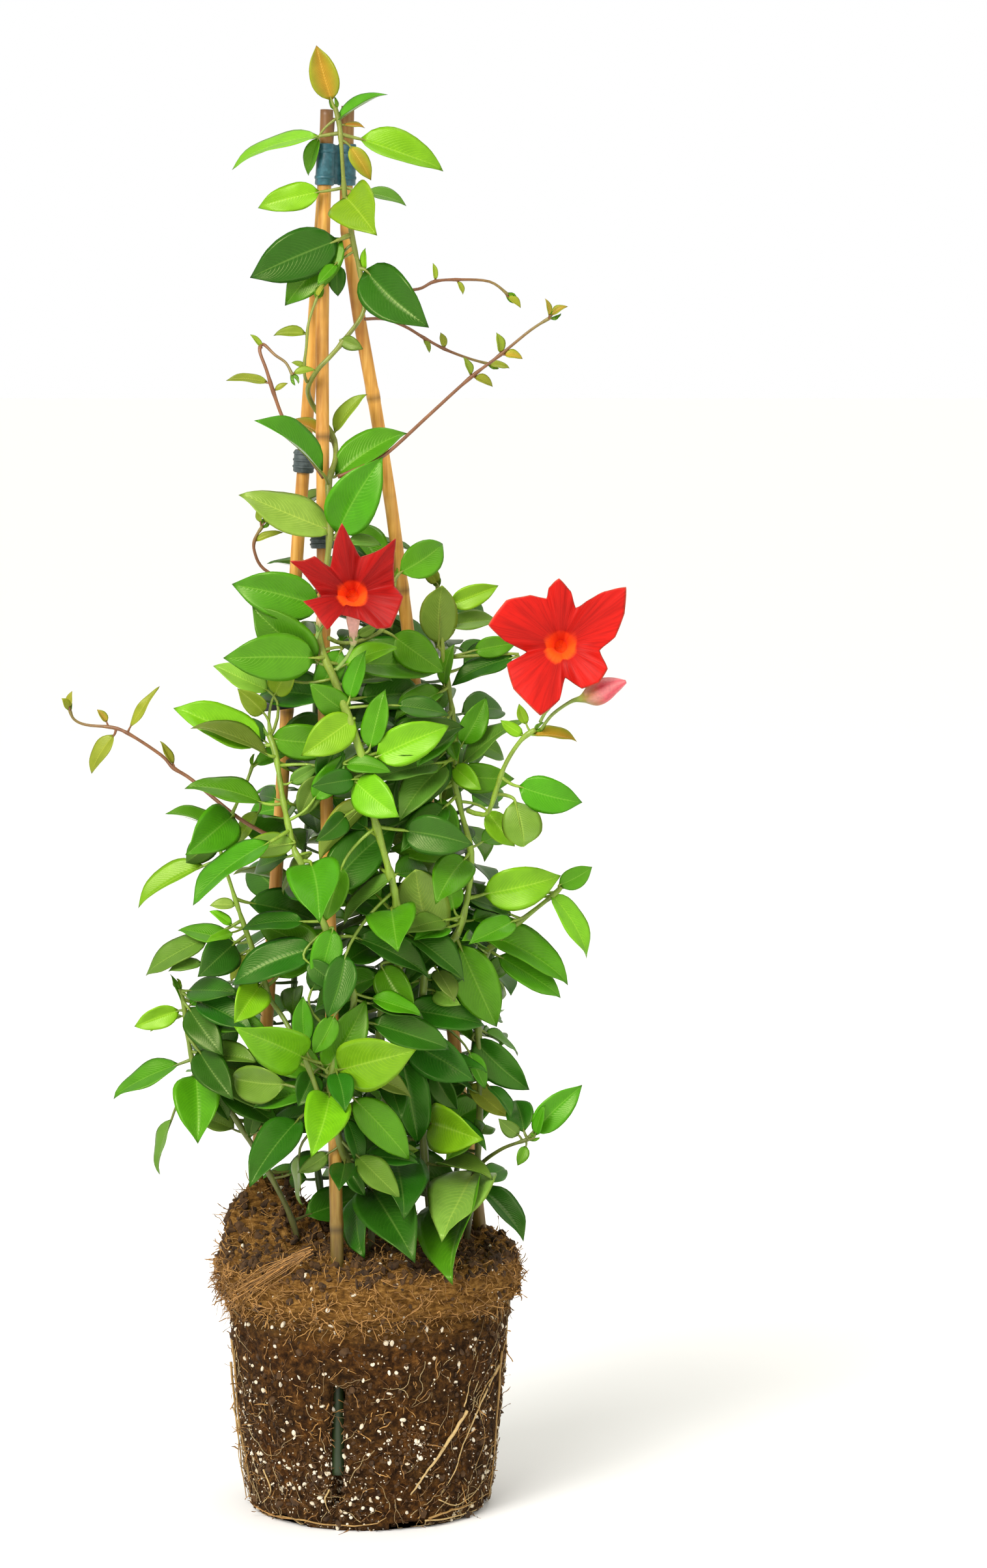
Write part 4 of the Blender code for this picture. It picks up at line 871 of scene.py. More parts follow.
def bloom_shape(name):
    """Corolla as one thin star: throat going back, five lobes to a given rim"""
    centre, rim = BLOOMS[name]
    throat = seen(*centre)
    outer = [seen(*p) for p in rim]
    back = BLOOM_BACK
    rows = []
    for share in BLOOM_ROWS:
        ring = []
        for p in outer:
            spot = throat.lerp(p, share)
            if share < 0.25:
                spot = throat.lerp(p, 0.14) + back * THROAT_DEPTH * MM
            elif share < 0.5:
                flat = (p - throat).normalized() * 7 * MM
                spot = throat + flat + back * 2.2 * MM
            elif share < 1:
                spot = spot - back * 1.5 * MM
            ring.append(spot)
        rows.append(ring)
    half = PETAL_THICKNESS * MM
    behind = [[p + back * half for p in ring] for ring in rows]
    behind[0] = [throat.lerp(p, 0.05) + back * (THROAT_DEPTH * MM + half) for p in outer]
    behind[1] = [p + back * half + (p - throat).normalized() * half * 0.8 for p in rows[1]]
    tip_front = [throat + back * (THROAT_DEPTH - 1) * MM]
    tip_back = [throat + back * (THROAT_DEPTH * MM + half * 2)]
    return loft([tip_front] + rows + list(reversed(behind)) + [tip_back])


def fine_bloom(name, tone, seed):
    """Corolla: funnel throat and five pointed lobes, rippled towards the rim"""
    centre, rim = BLOOMS[name]
    throat = seen(*centre)
    outer = [seen(*p) for p in rim]
    back = BLOOM_BACK
    n = len(outer)
    around = 8
    ring = []
    for i in range(n):
        a, b, c, d = outer[i - 1], outer[i], outer[(i + 1) % n], outer[(i + 2) % n]
        for k in range(around):
            t = k / around
            ring.append(spline(a, b, c, d, t).lerp(b.lerp(c, t), 0.72))
    m = len(ring)
    rows = 22
    build = Build()
    front, behind, uv_front, uv_behind = [], [], [], []
    for r in range(rows + 1):
        s = r / rows
        for k, p in enumerate(ring):
            a = 2 * math.pi * k / m
            toward = (p - throat).normalized()
            q0 = throat + toward * 0.0034 + back * THROAT_DEPTH * MM * 0.62
            q1 = throat + toward * 0.0072 + back * 0.0022
            q2 = throat.lerp(p, 0.58) - back * 0.0016
            if s < 0.25:
                t = s / 0.25
                spot = q0.lerp(q1, t) - toward * 0.0010 * math.sin(math.pi * t)
            else:
                t = (s - 0.25) / 0.75
                spot = q1.lerp(q2, t).lerp(q2.lerp(p, t), t)
            ripple = 0.0009 * math.sin(13 * a + seed) + 0.0006 * math.sin(29 * a + 2 * seed)
            spot = spot + back * ripple * max(s - 0.3, 0) ** 1.5
            front.append(spot)
            uv_front.append((k / m, s))
            if r < rows:
                deeper = back * THROAT_DEPTH * MM * 0.38 * max(1 - s / 0.25, 0)
                behind.append(spot + back * 0.0005 * (1 - s ** 4) + deeper)
                uv_behind.append((k / m, s))
    verts = front + behind
    faces = []
    start = len(front)

    def under(r, k):
        return r * m + k if r == rows else start + r * m + k

    for r in range(rows):
        for k in range(m):
            k2 = (k + 1) % m
            faces.append((r * m + k, r * m + k2, (r + 1) * m + k2, (r + 1) * m + k))
            faces.append((under(r, k), under(r + 1, k), under(r + 1, k2), under(r, k2)))
    deep = throat + back * THROAT_DEPTH * MM
    verts = verts + [throat + back * THROAT_DEPTH * MM * 0.70, deep + back * 0.0016]
    for k in range(m):
        k2 = (k + 1) % m
        faces.append((k2, k, len(verts) - 2))
        faces.append((start + k, start + k2, len(verts) - 1))
    uvs = uv_front + uv_behind + [(0.5, 0.0), (0.5, 0.0)]
    tones = []
    for i, (u, s) in enumerate(uvs):
        lobe = 0.86 + 0.22 * noise.noise(Vector((math.cos(u * 6.283) * 2.5, math.sin(u * 6.283) * 2.5, seed)))
        lobed = shade(tone, lobe * (0.78 + 0.35 * s))
        # The throat's orange ends soon above and runs further out below, and towards the top it is painted darker red
        # as shade
        down = 0.5 - 0.5 * (ring[int(u * m) % m] - throat).normalized().z
        throat_reach = min(max((0.27 + 0.10 * down - s) / 0.05, 0), 1)
        throat_with_painted_shade = blend((0.60, 0.022, 0.003), (0.95, 0.095, 0.006), min(down * 1.5, 1) if s > 0.03 else 0.6)
        tones.append(blend(lobed, throat_with_painted_shade, throat_reach))
    build.put(verts, faces, tones, uvs)
    piece = build.make(name + "_corolla", [petal_look], "petal_uv")
    finish_shell(piece)
    return piece


petal_look = petal_material()
for name, tone, seed in (("flower_left", (0.35, 0.0042, 0.003), 3), ("flower_right", (0.54, 0.007, 0.003), 8)):
    piece = fine_bloom(name, tone, seed)
    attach(piece, "root")
    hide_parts(name)


# --- Bloom tubes and buds ---
# Slim tubes behind the blooms and the pointed twisted buds, green at the foot and red or pink towards the tip.
# Each is one closed skin round its own line and runs on from the shoot that carries it.
ARCH = 0.10
LARGE_BLADE = 20
TUBE_SIDES, SEPALS = 20, 5
OUTLINE = ((0.0, 0.05), (0.03, 0.26), (0.07, 0.50), (0.13, 0.72), (0.22, 0.90), (0.34, 1.0), (0.47, 0.99), (0.60, 0.90),
           (0.71, 0.75), (0.80, 0.56), (0.87, 0.37), (0.92, 0.22), (0.96, 0.11), (1.0, 0.0))
TUBES = {
    "flower_left_tube": ((-16.5, 459.5, -50, 0.9), (-11, 466, -54, 0.9), (-8, 472, -57, 1.0), (-7.5, 474, -58, 1.9),
                         (-7.5, 480, -59, 2.4), (-7.6, 487, -60, 3.6), (-8, 493, -61.5, 2.4)),
    "flower_right_tube": ((93.5, 431, -38, 0.9), (96, 436, -35, 1.0), (98, 440, -33.5, 1.9), (101, 449, -34, 2.4),
                          (103.5, 459, -36, 3.4), (104.5, 465, -37.5, 2.4)),
    "bud_right": ((94, 427, -44, 0.8), (100, 435, -48, 0.9), (109.8, 442, -52, 1.0), (116, 443.8, -56, 2.2),
                  (122, 446, -58, 6.0), (128, 448.6, -59, 6.4), (134, 451, -60, 4.2), (139.8, 453, -61, 0.9)),
    "buds_left": ((-27.5, 476, -50, 0.8), (-26, 481, -53, 1.4), (-25, 487, -55, 2.2), (-24, 493, -57, 0.8)),
}


def rough_tube(points, radii, sides):
    return hose(points, radii, sides)[:2]


def tube_shape(name):
    spots = TUBES[name]
    return rough_tube([seen(*p[:3]) for p in spots], [p[3] * MM for p in spots], 8)


TUBE_TONES = {
    "flower_left_tube": ((0.25, 0.38, 0.08), (0.72, 0.36, 0.30)),
    "flower_right_tube": ((0.25, 0.38, 0.08), (0.62, 0.25, 0.20)),
    "bud_right": ((0.22, 0.32, 0.05), (0.62, 0.055, 0.085)),
    "buds_left": ((0.25, 0.38, 0.08), (0.62, 0.30, 0.18)),
}


def outline_at(t):
    for (a, wa), (b, wb) in zip(OUTLINE, OUTLINE[1:]):
        if t <= b:
            k = (t - a) / (b - a)
            k = k * k * (3 - 2 * k) * 0.35 + k * 0.65
            return lerp(wa, wb, k)
    return 0.0


def fine_leaf(build, base, tip, side, face, wide, tone, chance):
    """Blade: folded along the midrib, waved at the edge, arching to a drawn-out tip"""
    length = (tip - base).length
    large = length > LARGE_BLADE * MM
    rows, cols = (14, 10) if large else (8, 6)
    middle = base.lerp(tip, 0.5) + face * length * (ARCH + chance.uniform(-0.02, 0.03))
    fold = chance.uniform(0.12, 0.40)
    wave = chance.uniform(0.008, 0.028) * length
    phase = chance.uniform(0, 6)
    lean = chance.uniform(-0.035, 0.035) * length
    half = 0.00022 if large else 0.0002
    top, low, uvs_top, uvs_low = [], [], [], []
    for i in range(rows):
        t = (i / rows) ** 0.92
        p = base.lerp(middle, t).lerp(middle.lerp(tip, t), t)
        p = p + side * lean * math.sin(math.pi * t)
        p = p - face * max(t - 0.8, 0) ** 2 * length * 1.1
        w = max(wide * outline_at(t) / 2, 0.0005)
        for j in range(cols + 1):
            u = 2 * j / cols - 1
            lift = abs(u) ** 1.25 * w * fold * 1.6 - u * u * w * 0.07
            ripple = wave * math.sin(9.5 * t + phase + (1.7 if u > 0 else 0)) * u * u
            spot = p + side * u * w * math.cos(fold * 0.8) + face * (lift + ripple)
            inner = 0 < i and 0 < j < cols
            groove = 0.00018 if j == cols // 2 else 0
            top.append(spot + face * ((half if inner else 0) - groove))
            uvs_top.append((0.5 + u * 0.5, t))
            if inner:
                low.append(spot - face * half)
                uvs_low.append((0.5 + u * 0.5, t))
    top.append(tip - face * 0.04 * length * 1.1)
    uvs_top.append((0.5, 1.0))
    width = cols + 1
    end = rows * width

    def below(i, j):
        if i == 0 or j == 0 or j == cols:
            return i * width + j
        return end + 1 + (i - 1) * (cols - 1) + (j - 1)

    faces = []
    for i in range(rows - 1):
        for j in range(cols):
            faces.append((i * width + j, i * width + j + 1, (i + 1) * width + j + 1, (i + 1) * width + j))
            faces.append((below(i, j), below(i + 1, j), below(i + 1, j + 1), below(i, j + 1)))
    for j in range(cols):
        faces.append(((rows - 1) * width + j, (rows - 1) * width + j + 1, end))
        faces.append((below(rows - 1, j + 1), below(rows - 1, j), end))
    along = (tip - base).normalized()
    if side.cross(along).dot(face) < 0:
        faces = [tuple(reversed(f)) for f in faces]
    light = tuple(c * chance.uniform(0.85, 1.18) for c in tone)
    bronze = tone[0] > tone[1]
    tones = []
    for u, t in uvs_top:
        # A young bronze leaf is green towards its edge
        green = abs(2 * u - 1) ** 1.5 * 0.75 if bronze else 0
        tones.append(shade(blend(light, (0.17, 0.29, 0.015), green), 1.12 - 0.20 * t))
    back = blend(shade(light, 1.05), (0.12, 0.23, 0.040), 0.55)
    build.put(top + low, faces, tones + [back] * len(low), uvs_top + uvs_low)


def fine_tube(name, twist, ribs):
    """Tube or bud through its given spots, lightly ribbed, the ribs turning as they rise"""
    spots = TUBES[name]
    route = smooth_route([seen(*p[:3]) for p in spots], 7)
    wide = smooth_route([Vector((p[3], 0, 0)) for p in spots], 7)
    path = [p for p, share in route]
    radii = [max(p.x, 0.25) * MM for p, share in wide]
    sides = TUBE_SIDES
    verts, faces, shares = hose(path, radii, sides)
    for i, p in enumerate(path):
        for k in range(sides):
            v = verts[i * sides + k]
            a = 2 * math.pi * k / sides
            verts[i * sides + k] = p + (v - p) * (1 + 0.07 * math.cos(ribs * a + twist * i / len(path)))
    return verts, faces, shares


bud_look = toned_material("bud_skin", 0.42, 500, 0.25)
for name, (low, high) in TUBE_TONES.items():
    build = Build()
    verts, faces, shares = fine_tube(name, 9 if "bud" in name else 1, 5)
    tones = []
    for i, s in enumerate(shares):
        stripe = 0.5 + 0.5 * math.sin(5 * 2 * math.pi * (i % TUBE_SIDES) / TUBE_SIDES + s * 9)
        tone = blend(low, high, min(max((s - 0.40) * 3.2, 0), 1))
        if name == "bud_right" and s > 0.5:
            tone = blend(tone, (0.85, 0.42, 0.40), stripe * 0.38)
        tones.append(tone)
    build.put(verts, faces, tones)
    # Small green sepals stand round the foot of each
    first = 1 if name == "buds_left" else 3
    seat, beyond = (seen(*spot[:3]) for spot in TUBES[name][first:first + 2])
    ahead = (beyond - seat).normalized()
    side = ahead.cross(Vector((0.2, 1, 0.3))).normalized()
    chance = random.Random(name)
    for k in range(SEPALS):
        out = Matrix.Rotation(2 * math.pi * k / SEPALS, 3, ahead) @ side
        foot = seat - ahead * 0.0008 + out * 0.0012
        tip = seat + ahead * 0.0042 + out * 0.0034
        fine_leaf(build, foot, tip, ahead.cross(out), -out, 0.0022, (0.20, 0.36, 0.06), chance)
    piece = build.make(name + "_detail", [bud_look])
    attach(piece, "root")
    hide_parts(name)


# --- How the stems run and the leaves lie ---
# Long stems climb from the ball inside the canes and thin shoots twine out from them. Leaves grow in crossed pairs;
# each is moved in depth until its blade is clear of the canes, the blooms and every leaf laid before it.
STEMS = {
    "stem_front": (2.0, 1.2, None, (
        (1, 118, -27), (1.5, 150, -28), (2, 174.6, -32), (-3.5, 184, -40), (-11.5, 189.5, -50), (-17, 205, -58),
        (-21, 227, -58), (-16, 255, -57), (-7.7, 278, -56), (-14.6, 298.5, -57), (-24.5, 322, -57),
        (-35.7, 353, -56), (-40, 362, -54), (-45.5, 387, -49), (-49.5, 412.7, -42), (-53, 424, -38))),
    "stem_center": (2.1, 1.0, None, (
        (18, 118, -6), (17, 150, -8), (14, 190, -14), (8, 230, -22), (6.7, 271, -32), (15.5, 285, -38),
        (17, 310, -44), (15, 335, -48), (11, 352, -50), (6, 370, -51), (1, 388.5, -51), (-1.2, 406.6, -51),
        (-12, 438.6, -49), (-18, 455, -47), (-25.4, 474, -43), (-24, 500, -40), (-20, 530, -37),
        (-20.4, 559, -33), (-16.5, 574, -22), (-18, 585, -11), (-24, 595, -8), (-30, 604.6, -13),
        (-31, 612, -21), (-26, 621, -28), (-19.3, 628, -28), (-11.6, 637, -25), (-1, 653, -20),
        (-2.8, 671.5, -18), (-6.5, 688, -17), (-11, 713, -17), (-12.7, 738, -18), (-14, 752, -16),
        (-16, 760, -15))),
    "stem_middle": (1.9, 1.0, None, (
        (36, 118, -4), (34, 150, -6), (30, 200, -12), (28, 250, -20), (30, 285, -26), (32.4, 301, -28),
        (42, 309, -28), (49, 316, -28), (54, 335, -26), (56, 360, -24), (50, 385, -22), (47, 400, -22),
        (48, 412, -20), (47, 430, -16), (44, 450, -12), (41, 470, -10), (40, 490, -8), (38, 505, -6))),
    "stem_right": (1.9, 1.0, None, (
        (52, 118, 2), (54, 150, 0), (59, 184, -4), (61, 230, -8), (60, 270, -10), (64, 302.6, -12),
        (71, 311, -14), (79, 319, -16), (100, 336, -18), (105, 341, -18))),
    "stem_low_left": (1.7, 0.9, None, (
        (-38, 118, -8), (-40, 150, -8), (-54, 182, -11), (-72, 212, -14), (-85, 232, -17), (-94, 240, -19),
        (-98, 256, -20), (-100.5, 277, -20), (-103, 285, -20))),
    "shoot_left": (1.5, 0.8, "stem_front", (
        (-19, 216, -58), (-26, 224, -66), (-34.5, 246, -62), (-45.4, 267.5, -48), (-53, 279, -44),
        (-57, 291, -42), (-62.8, 307, -40), (-69.7, 327, -38), (-75.6, 346, -36), (-79, 356, -34),
        (-78.5, 369, -32), (-66, 397, -28), (-62, 408, -26))),
    "vine_far_left": (1.2, 0.7, "stem_front", (
        (-41, 364, -53), (-50, 368, -44), (-59, 372, -36), (-73, 381, -28), (-95, 399.5, -20), (-105, 406, -18),
        (-111.6, 413, -16), (-128, 424, -14), (-137.5, 428, -12), (-152, 429.5, -10), (-158.6, 432.6, -10),
        (-161, 438, -10))),
    "shoot_low_right": (1.2, 0.8, "stem_right", (
        (59, 186, -4), (66, 192, -12), (74, 197, -18), (82, 200, -22), (88, 202, -24))),
    "shoot_flower_right": (1.4, 1.1, "stem_middle", (
        (51, 384, -22), (60, 381, -28), (66, 383, -32), (73.8, 406, -38), (83, 421, -42), (91, 427, -43))),
    "shoot_middle": (1.2, 0.9, "stem_center", (
        (-24, 478, -43), (-14, 474, -36), (-4, 475, -32), (8, 481, -28), (14, 494, -26), (15, 509, -24))),
    "vine_top_left": (0.9, 0.7, "stem_center", (
        (-31, 612, -21), (-33, 618, -27), (-33, 625, -29), (-32, 633, -29), (-30.7, 646, -28), (-26, 660, -26))),
    "vine_curly": (1.1, 0.7, "stem_center", (
        (-21, 560, -33), (-30, 573, -37), (-38, 584, -37), (-44.7, 595, -36), (-49.8, 609, -34),
        (-53.5, 621, -32), (-57, 631, -29), (-55, 634.5, -26), (-49, 629, -29), (-43, 624.6, -33),
        (-39.5, 618, -36))),
    "vine_left": (1.0, 0.7, "stem_center", (
        (-24, 500, -40), (-40, 506, -30), (-55.5, 514, -28), (-60.5, 523.6, -28), (-60, 530.5, -28),
        (-56, 537, -28))),
    "vine_right": (1.1, 0.7, "stem_center", (
        (-19, 562, -33), (0, 570, -31), (12, 577, -26), (34, 597, -18), (55, 616, -12), (72, 629, -9),
        (88, 642, -7), (99, 649, -6))),
    "vine_right_low": (0.9, 0.7, "stem_center", (
        (-4, 648, -21), (10, 648, -14), (21, 644, -9), (31, 638, -5), (42, 632, -1), (55, 627, 3), (66, 624, 5))),
    "vine_right_top": (0.9, 0.7, "stem_center", (
        (-3, 671, -18), (15, 664, -16), (28, 664, -14), (36.6, 668, -13), (48, 669, -12), (66, 668, -10),
        (76, 661, -9))),
    "stem_back_left": (1.8, 1.0, None, (
        (-22, 118, 26), (-24, 150, 28), (-30, 200, 36), (-40, 260, 40), (-38, 330, 38), (-30, 400, 34),
        (-26, 470, 30), (-16, 530, 26), (-12, 575, 24))),
    "stem_back_middle": (1.8, 1.0, None, (
        (8, 118, 34), (8, 150, 38), (4, 220, 48), (10, 300, 54), (6, 380, 50), (2, 450, 42), (0, 500, 36))),
    "stem_back_right": (1.8, 1.0, None, (
        (40, 118, 44), (42, 150, 46), (54, 220, 54), (60, 290, 54), (54, 360, 48), (44, 430, 40), (40, 480, 36))),
}
LEAVES = {
    "stem_front": (
        (-21, 227, -31, 193, 26, "b"), (-8, 224.5, 22.7, 190, 20, "m"), (-23, 240, -1, 279, 22, "m"),
        (-17, 240, 25, 250.7, 30, "b"), (-35, 247, -72, 263, 27, "b"), (-34.5, 255, -35.5, 281, 12, "m"),
        (-45, 232, -75, 236, 22, "g<"), (-38, 213, -65.5, 176, 20, "d", -88), (-30, 238, -38.5, 220, 16, "d"),
        (-17, 238, -3, 225, 9, "d"), (-28.5, 307.5, -75, 287.5, 19, "d<"), (-35, 322, -69, 318.5, 9, "d<"),
        (-30.7, 354, -26.5, 322.5, 30, "m"), (-31, 359, -47, 336.5, 6, "g"), (-40, 365, -70, 360, 14, "ou"),
        (-53, 365.5, -96, 332.5, 12, "m"), (-57, 387, -99, 396, 11, "m"), (-57.5, 419, -104.6, 439.5, 20, "b"),
        (-53.5, 413, -95, 429, 8, "g<"), (-52, 422, -10, 420, 20, "m"), (-42, 398, -26, 408, 9, "g"),
        (-6, 313, 34.5, 291, 14, "d"), (-22, 194, -39, 183, 9, "g"), (-38, 193, -37, 164, 5, "g"),
        (0.7, 175, 24.6, 135, 29, "d", -92), (-5.7, 172, -3.6, 136, 17, "d", -98),
        (-12, 213, -4, 184, 10, "d"), (-10, 184, -2, 170, 10, "d"), (-50, 446, -39, 464, 14, "o"),
        (-56, 436, -70, 449, 12, "o"), (-53.5, 448, -83, 462, 13, "p")),
    "stem_center": (
        (-18, 764, -26, 793, 16, "z"), (-15, 753, 11.5, 768, 5, "m"), (-11.5, 751, 0, 749.6, 3, "z"),
        (-24.5, 745, -72, 729, 8, "b"), (-3, 743.6, 42, 727.6, 17, "b"), (-8, 739.5, 3, 721.6, 10, "z"),
        (-25, 744, -31, 724, 8, "m<"), (-24.5, 715.6, -57.7, 707.4, 15, "b"), (-10.7, 713, 5, 693.6, 28, "b"),
        (0, 715, 22, 708.7, 7, "g<"), (-13, 691, -43.5, 655, 22, "m"), (-15, 690, -62, 670, 27, "d<"),
        (-15, 677, -15, 660, 10, "d"), (-16, 677.5, -26, 666.5, 7, "m"), (-0.4, 674, -0.4, 686, 4, "b"),
        (0, 674, 33, 644, 28, "d"), (-13.6, 637, -1.7, 632, 8, "g"), (-24.2, 566, -58.6, 595, 10, "m<"),
        (-16.5, 564, 22, 588, 17, "m"), (-19.8, 583, -42.7, 594.7, 6, "z<"), (-17, 587.6, 0, 608.5, 8, "o<"),
        (-18.5, 534, -68.5, 555, 20, "p"), (-16, 533, 8.5, 574, 28, "m"), (-10, 529, 8, 527, 7, "g"),
        (-25, 494, -73, 505.7, 26, "m"), (-27, 464, -62, 494, 26, "m"), (-28, 466, -77.5, 465.6, 26, "m"),
        (-44, 455, -64, 463, 9, "d"), (-12, 462, 17, 472, 10, "b"), (-9.5, 444, -1, 470, 11, "m"),
        (-7, 433, -35.7, 412.7, 21, "b"), (16.4, 440, 44.7, 435, 11, "d"), (1.4, 417, 9.6, 449, 14, "m"),
        (5, 412, 44.5, 429, 22, "b"), (-7, 399, 16.6, 379.5, 22, "b"), (-12, 408, 13, 404, 9, "m"),
        (1, 389, -27, 356, 15, "ou"), (20, 372, 57, 364, 22, "d"), (12.8, 329, 16, 306.5, 28, "m"),
        (14.8, 347, -14.5, 320.5, 7, "g"), (7.5, 297, 25, 270, 20, "m"), (7, 264, 34, 259, 15, "b"),
        (13, 194, 19.7, 159.4, 28, "d", -84), (18.5, 246, 27.3, 198.5, 21, "d"), (-7, 400, -30, 396, 14, "d"),
        (-36, 471, -25, 479, 5, "z")),
    "stem_middle": (
        (33, 211, 61.4, 201.4, 28, "b"), (35, 240, 48.5, 218, 14, "d"), (21.5, 256, 57.7, 234, 25, "d"),
        (55, 250, 64, 229.5, 9, "m"), (36, 284, 50, 276, 12, "p"), (34, 290, 51, 290, 12, "d"),
        (50, 309, 70, 263.5, 26, "m"), (35.5, 307.5, 25.6, 352, 30, "pu"), (47, 328, 41, 352, 14, "m"),
        (44, 358, 11.4, 362.5, 12, "m"), (63, 337, 105, 347, 24, "b"), (39.5, 389.5, 45.4, 360, 14, "m"),
        (42, 415, 13, 381, 27, "d"), (65, 382.5, 79.8, 363, 14, "b"), (47, 402, 79.7, 400, 17, "m"),
        (46.6, 407, 61.6, 394, 12, "b"), (51, 407.7, 84, 433, 9, "g<"), (46, 420, 48.5, 410, 9, "m"),
        (51.3, 419, 64.4, 444.6, 15, "m<"), (79, 466, 45, 451.6, 11, "d"), (41.6, 451, 47, 473.8, 8, "m"),
        (38.6, 473, 40.6, 506, 21, "ou"), (45, 495, 71, 505, 13, "b"), (43, 483, 72, 486, 10, "g<"),
        (58, 470, 81, 474, 12, "m<"), (38, 506, 30, 517, 8, "o")),
    "stem_right": (
        (57.4, 257, 88, 228.7, 20, "d"), (54.8, 232, 76.7, 214, 12, "o"), (63.5, 315.5, 109.7, 288, 17, "m"),
        (71, 303, 105.5, 280.6, 14, "m<"), (99.6, 337, 120, 302, 12, "b"), (104, 342, 122, 352, 12, "m<"),
        (58, 184, 39.6, 147.5, 26, "p", -78), (58.4, 175, 43.3, 123.5, 22, "m", -104),
        (60.5, 175, 85.3, 146, 11, "d", -60)),
    "stem_low_left": (
        (-59.5, 224, -65, 202, 11, "d"), (-94, 237.5, -93.5, 200, 27, "m"), (-92, 236, -76, 212, 12, "d<"),
        (-107.5, 213, -115.5, 182, 6, "g"), (-103, 243.5, -140, 225, 10, "m"), (-91, 240, -80, 235, 9, "m"),
        (-70.5, 265, -97, 251.5, 20, "d<"), (-103, 273, -127.6, 264, 13, "b"), (-101, 270, -119, 262, 7, "pu"),
        (-100.5, 277, -107.5, 293.5, 3, "m="), (-97, 276, -82, 287, 8, "m"), (-97, 267, -95, 256, 5, "m")),
    "shoot_left": (
        (-58.7, 287, -72.6, 266.5, 20, "b"), (-72.5, 310, -92, 292, 22, "d"), (-73, 311, -103.5, 318, 9, "m"),
        (-87, 313, -122, 293, 12, "g"), (-90, 299, -109, 295, 6, "g<"), (-74, 320, -86, 328, 5, "b="),
        (-74, 316, -88, 311, 5, "b="), (-72, 331, -86, 331, 6, "p="), (-66, 304, -75, 289, 7, "o"),
        (-89, 352.6, -125.7, 330.4, 10, "b"), (-73, 380, -98, 359, 25, "m"), (-80, 368, -99, 354, 15, "du"),
        (-80, 372, -109.5, 382, 6, "m<"), (-59, 382, -72.5, 362, 8, "o"), (-60, 408, -38, 418, 9, "m<")),
    "vine_far_left": (
        (-128.4, 428, -112.7, 451, 5, "m="), (-137, 424, -150, 403, 9, "m"), (-141, 431, -146, 438, 4, "z="),
        (-161, 439, -159.6, 448, 4, "b="), (-161, 439, -165, 444, 4, "b="), (-105, 408, -112, 421, 4, "m=")),
    "shoot_low_right": (
        (90, 206, 116.8, 231.7, 17, "m"), (85, 206, 80, 224, 16, "d<"), (82, 204, 71, 213, 9, "g"),
        (86, 198, 81.4, 187, 7, "m"), (91, 204, 96, 220.7, 6, "m")),
    "shoot_flower_right": (
        (80, 388, 85, 362, 22, "ou"), (82, 396, 116.5, 387, 20, "m"), (84, 424, 72, 432, 7, "b"),
        (90, 424, 113.6, 421, 6, "z"), (86, 430, 82, 441, 6, "b<")),
    "shoot_middle": (
        (14, 478, 41.5, 458, 20, "m"), (18, 512, 41.6, 528, 20, "m<"), (-5, 478, 6, 484, 6, "g<")),
    "vine_top_left": (
        (-32, 640, -49.7, 639.5, 6, "m="), (-33, 623, -40, 625, 3, "m="), (-26, 660, -22, 667, 3, "b=")),
    "vine_curly": (
        (-39, 619, -27, 621, 4, "m="), (-53, 614, -75.3, 615.6, 5, "m="), (-49, 610, -42, 614, 3, "m="),
        (-56, 633, -62, 640, 3, "b=")),
    "vine_left": (
        (-57, 539, -57, 549, 4, "m="), (-55, 539, -49, 544, 3, "m="), (-60, 529, -45, 534, 4, "m=")),
    "vine_right": (
        (56, 618, 52, 628, 4, "m="), (58, 617, 68, 612, 5, "m="), (72, 630, 70, 641, 5, "m="),
        (74, 629, 84, 627, 5, "z="), (99, 650, 108, 655, 4, "z="), (98, 650, 96, 659, 3, "z=")),
    "vine_right_low": (
        (42, 633, 40, 641, 4, "m="), (66, 624, 77, 622, 4, "m="), (31, 637, 34, 630, 3, "m=")),
    "vine_right_top": (
        (37, 669, 36, 678, 3, "b="), (76, 660, 83, 654, 4, "b="), (49, 668, 52, 661, 3, "b=")),
}
PAIRS = (
    ("stem_front", 0.42, 0.96, 7, 0.35), ("stem_center", 0.10, 0.42, 10, 0.30), ("stem_middle", 0.12, 0.95, 9, 0.35),
    ("stem_right", 0.20, 0.80, 5, 0.35), ("shoot_left", 0.15, 0.85, 4, 0.30), ("stem_low_left", 0.15, 0.60, 3, 0.30),
    ("stem_back_left", 0.20, 0.80, 7, 0.60), ("stem_back_middle", 0.22, 0.98, 7, 1.0),
    ("stem_back_right", 0.20, 0.98, 7, 0.60),
)
PAIR_LENGTH = (42, 60)
PAIR_SEED = 12
PAIR_REACH = ((-72, 150), (78, 500))
BLADE_THICKNESS = 1.3
PETIOLE_RADIUS = 0.8
SHORTEST = 2.6
LEAF_ROWS = ((0.10, 0.68), (0.36, 1.0), (0.66, 0.86), (0.88, 0.40))
SMALL_LEAF_ROWS = ((0.16, 0.78), (0.50, 1.0), (0.82, 0.52))
TINY_LEAF_ROWS = ((0.25, 1.0), (0.70, 0.80))
SMALL_LEAF = 44
TINY_LEAF = 15
SPARE = 1.2
SHIFTS = (0, -7, 7, -14, 14, -22, 22, -30, 30, -40, 40)
SIZES = (1.0, 0.86, 0.72)


def tree_of(shape):
    return BVHTree.FromPolygons([tuple(v) for v in shape[0]], shape[1])


def bounds_of(shape):
    low = [min(v[i] for v in shape[0]) for i in range(3)]
    high = [max(v[i] for v in shape[0]) for i in range(3)]
    return low, high


def apart(a, b):
    return any(a[0][i] > b[1][i] or b[0][i] > a[1][i] for i in range(3))


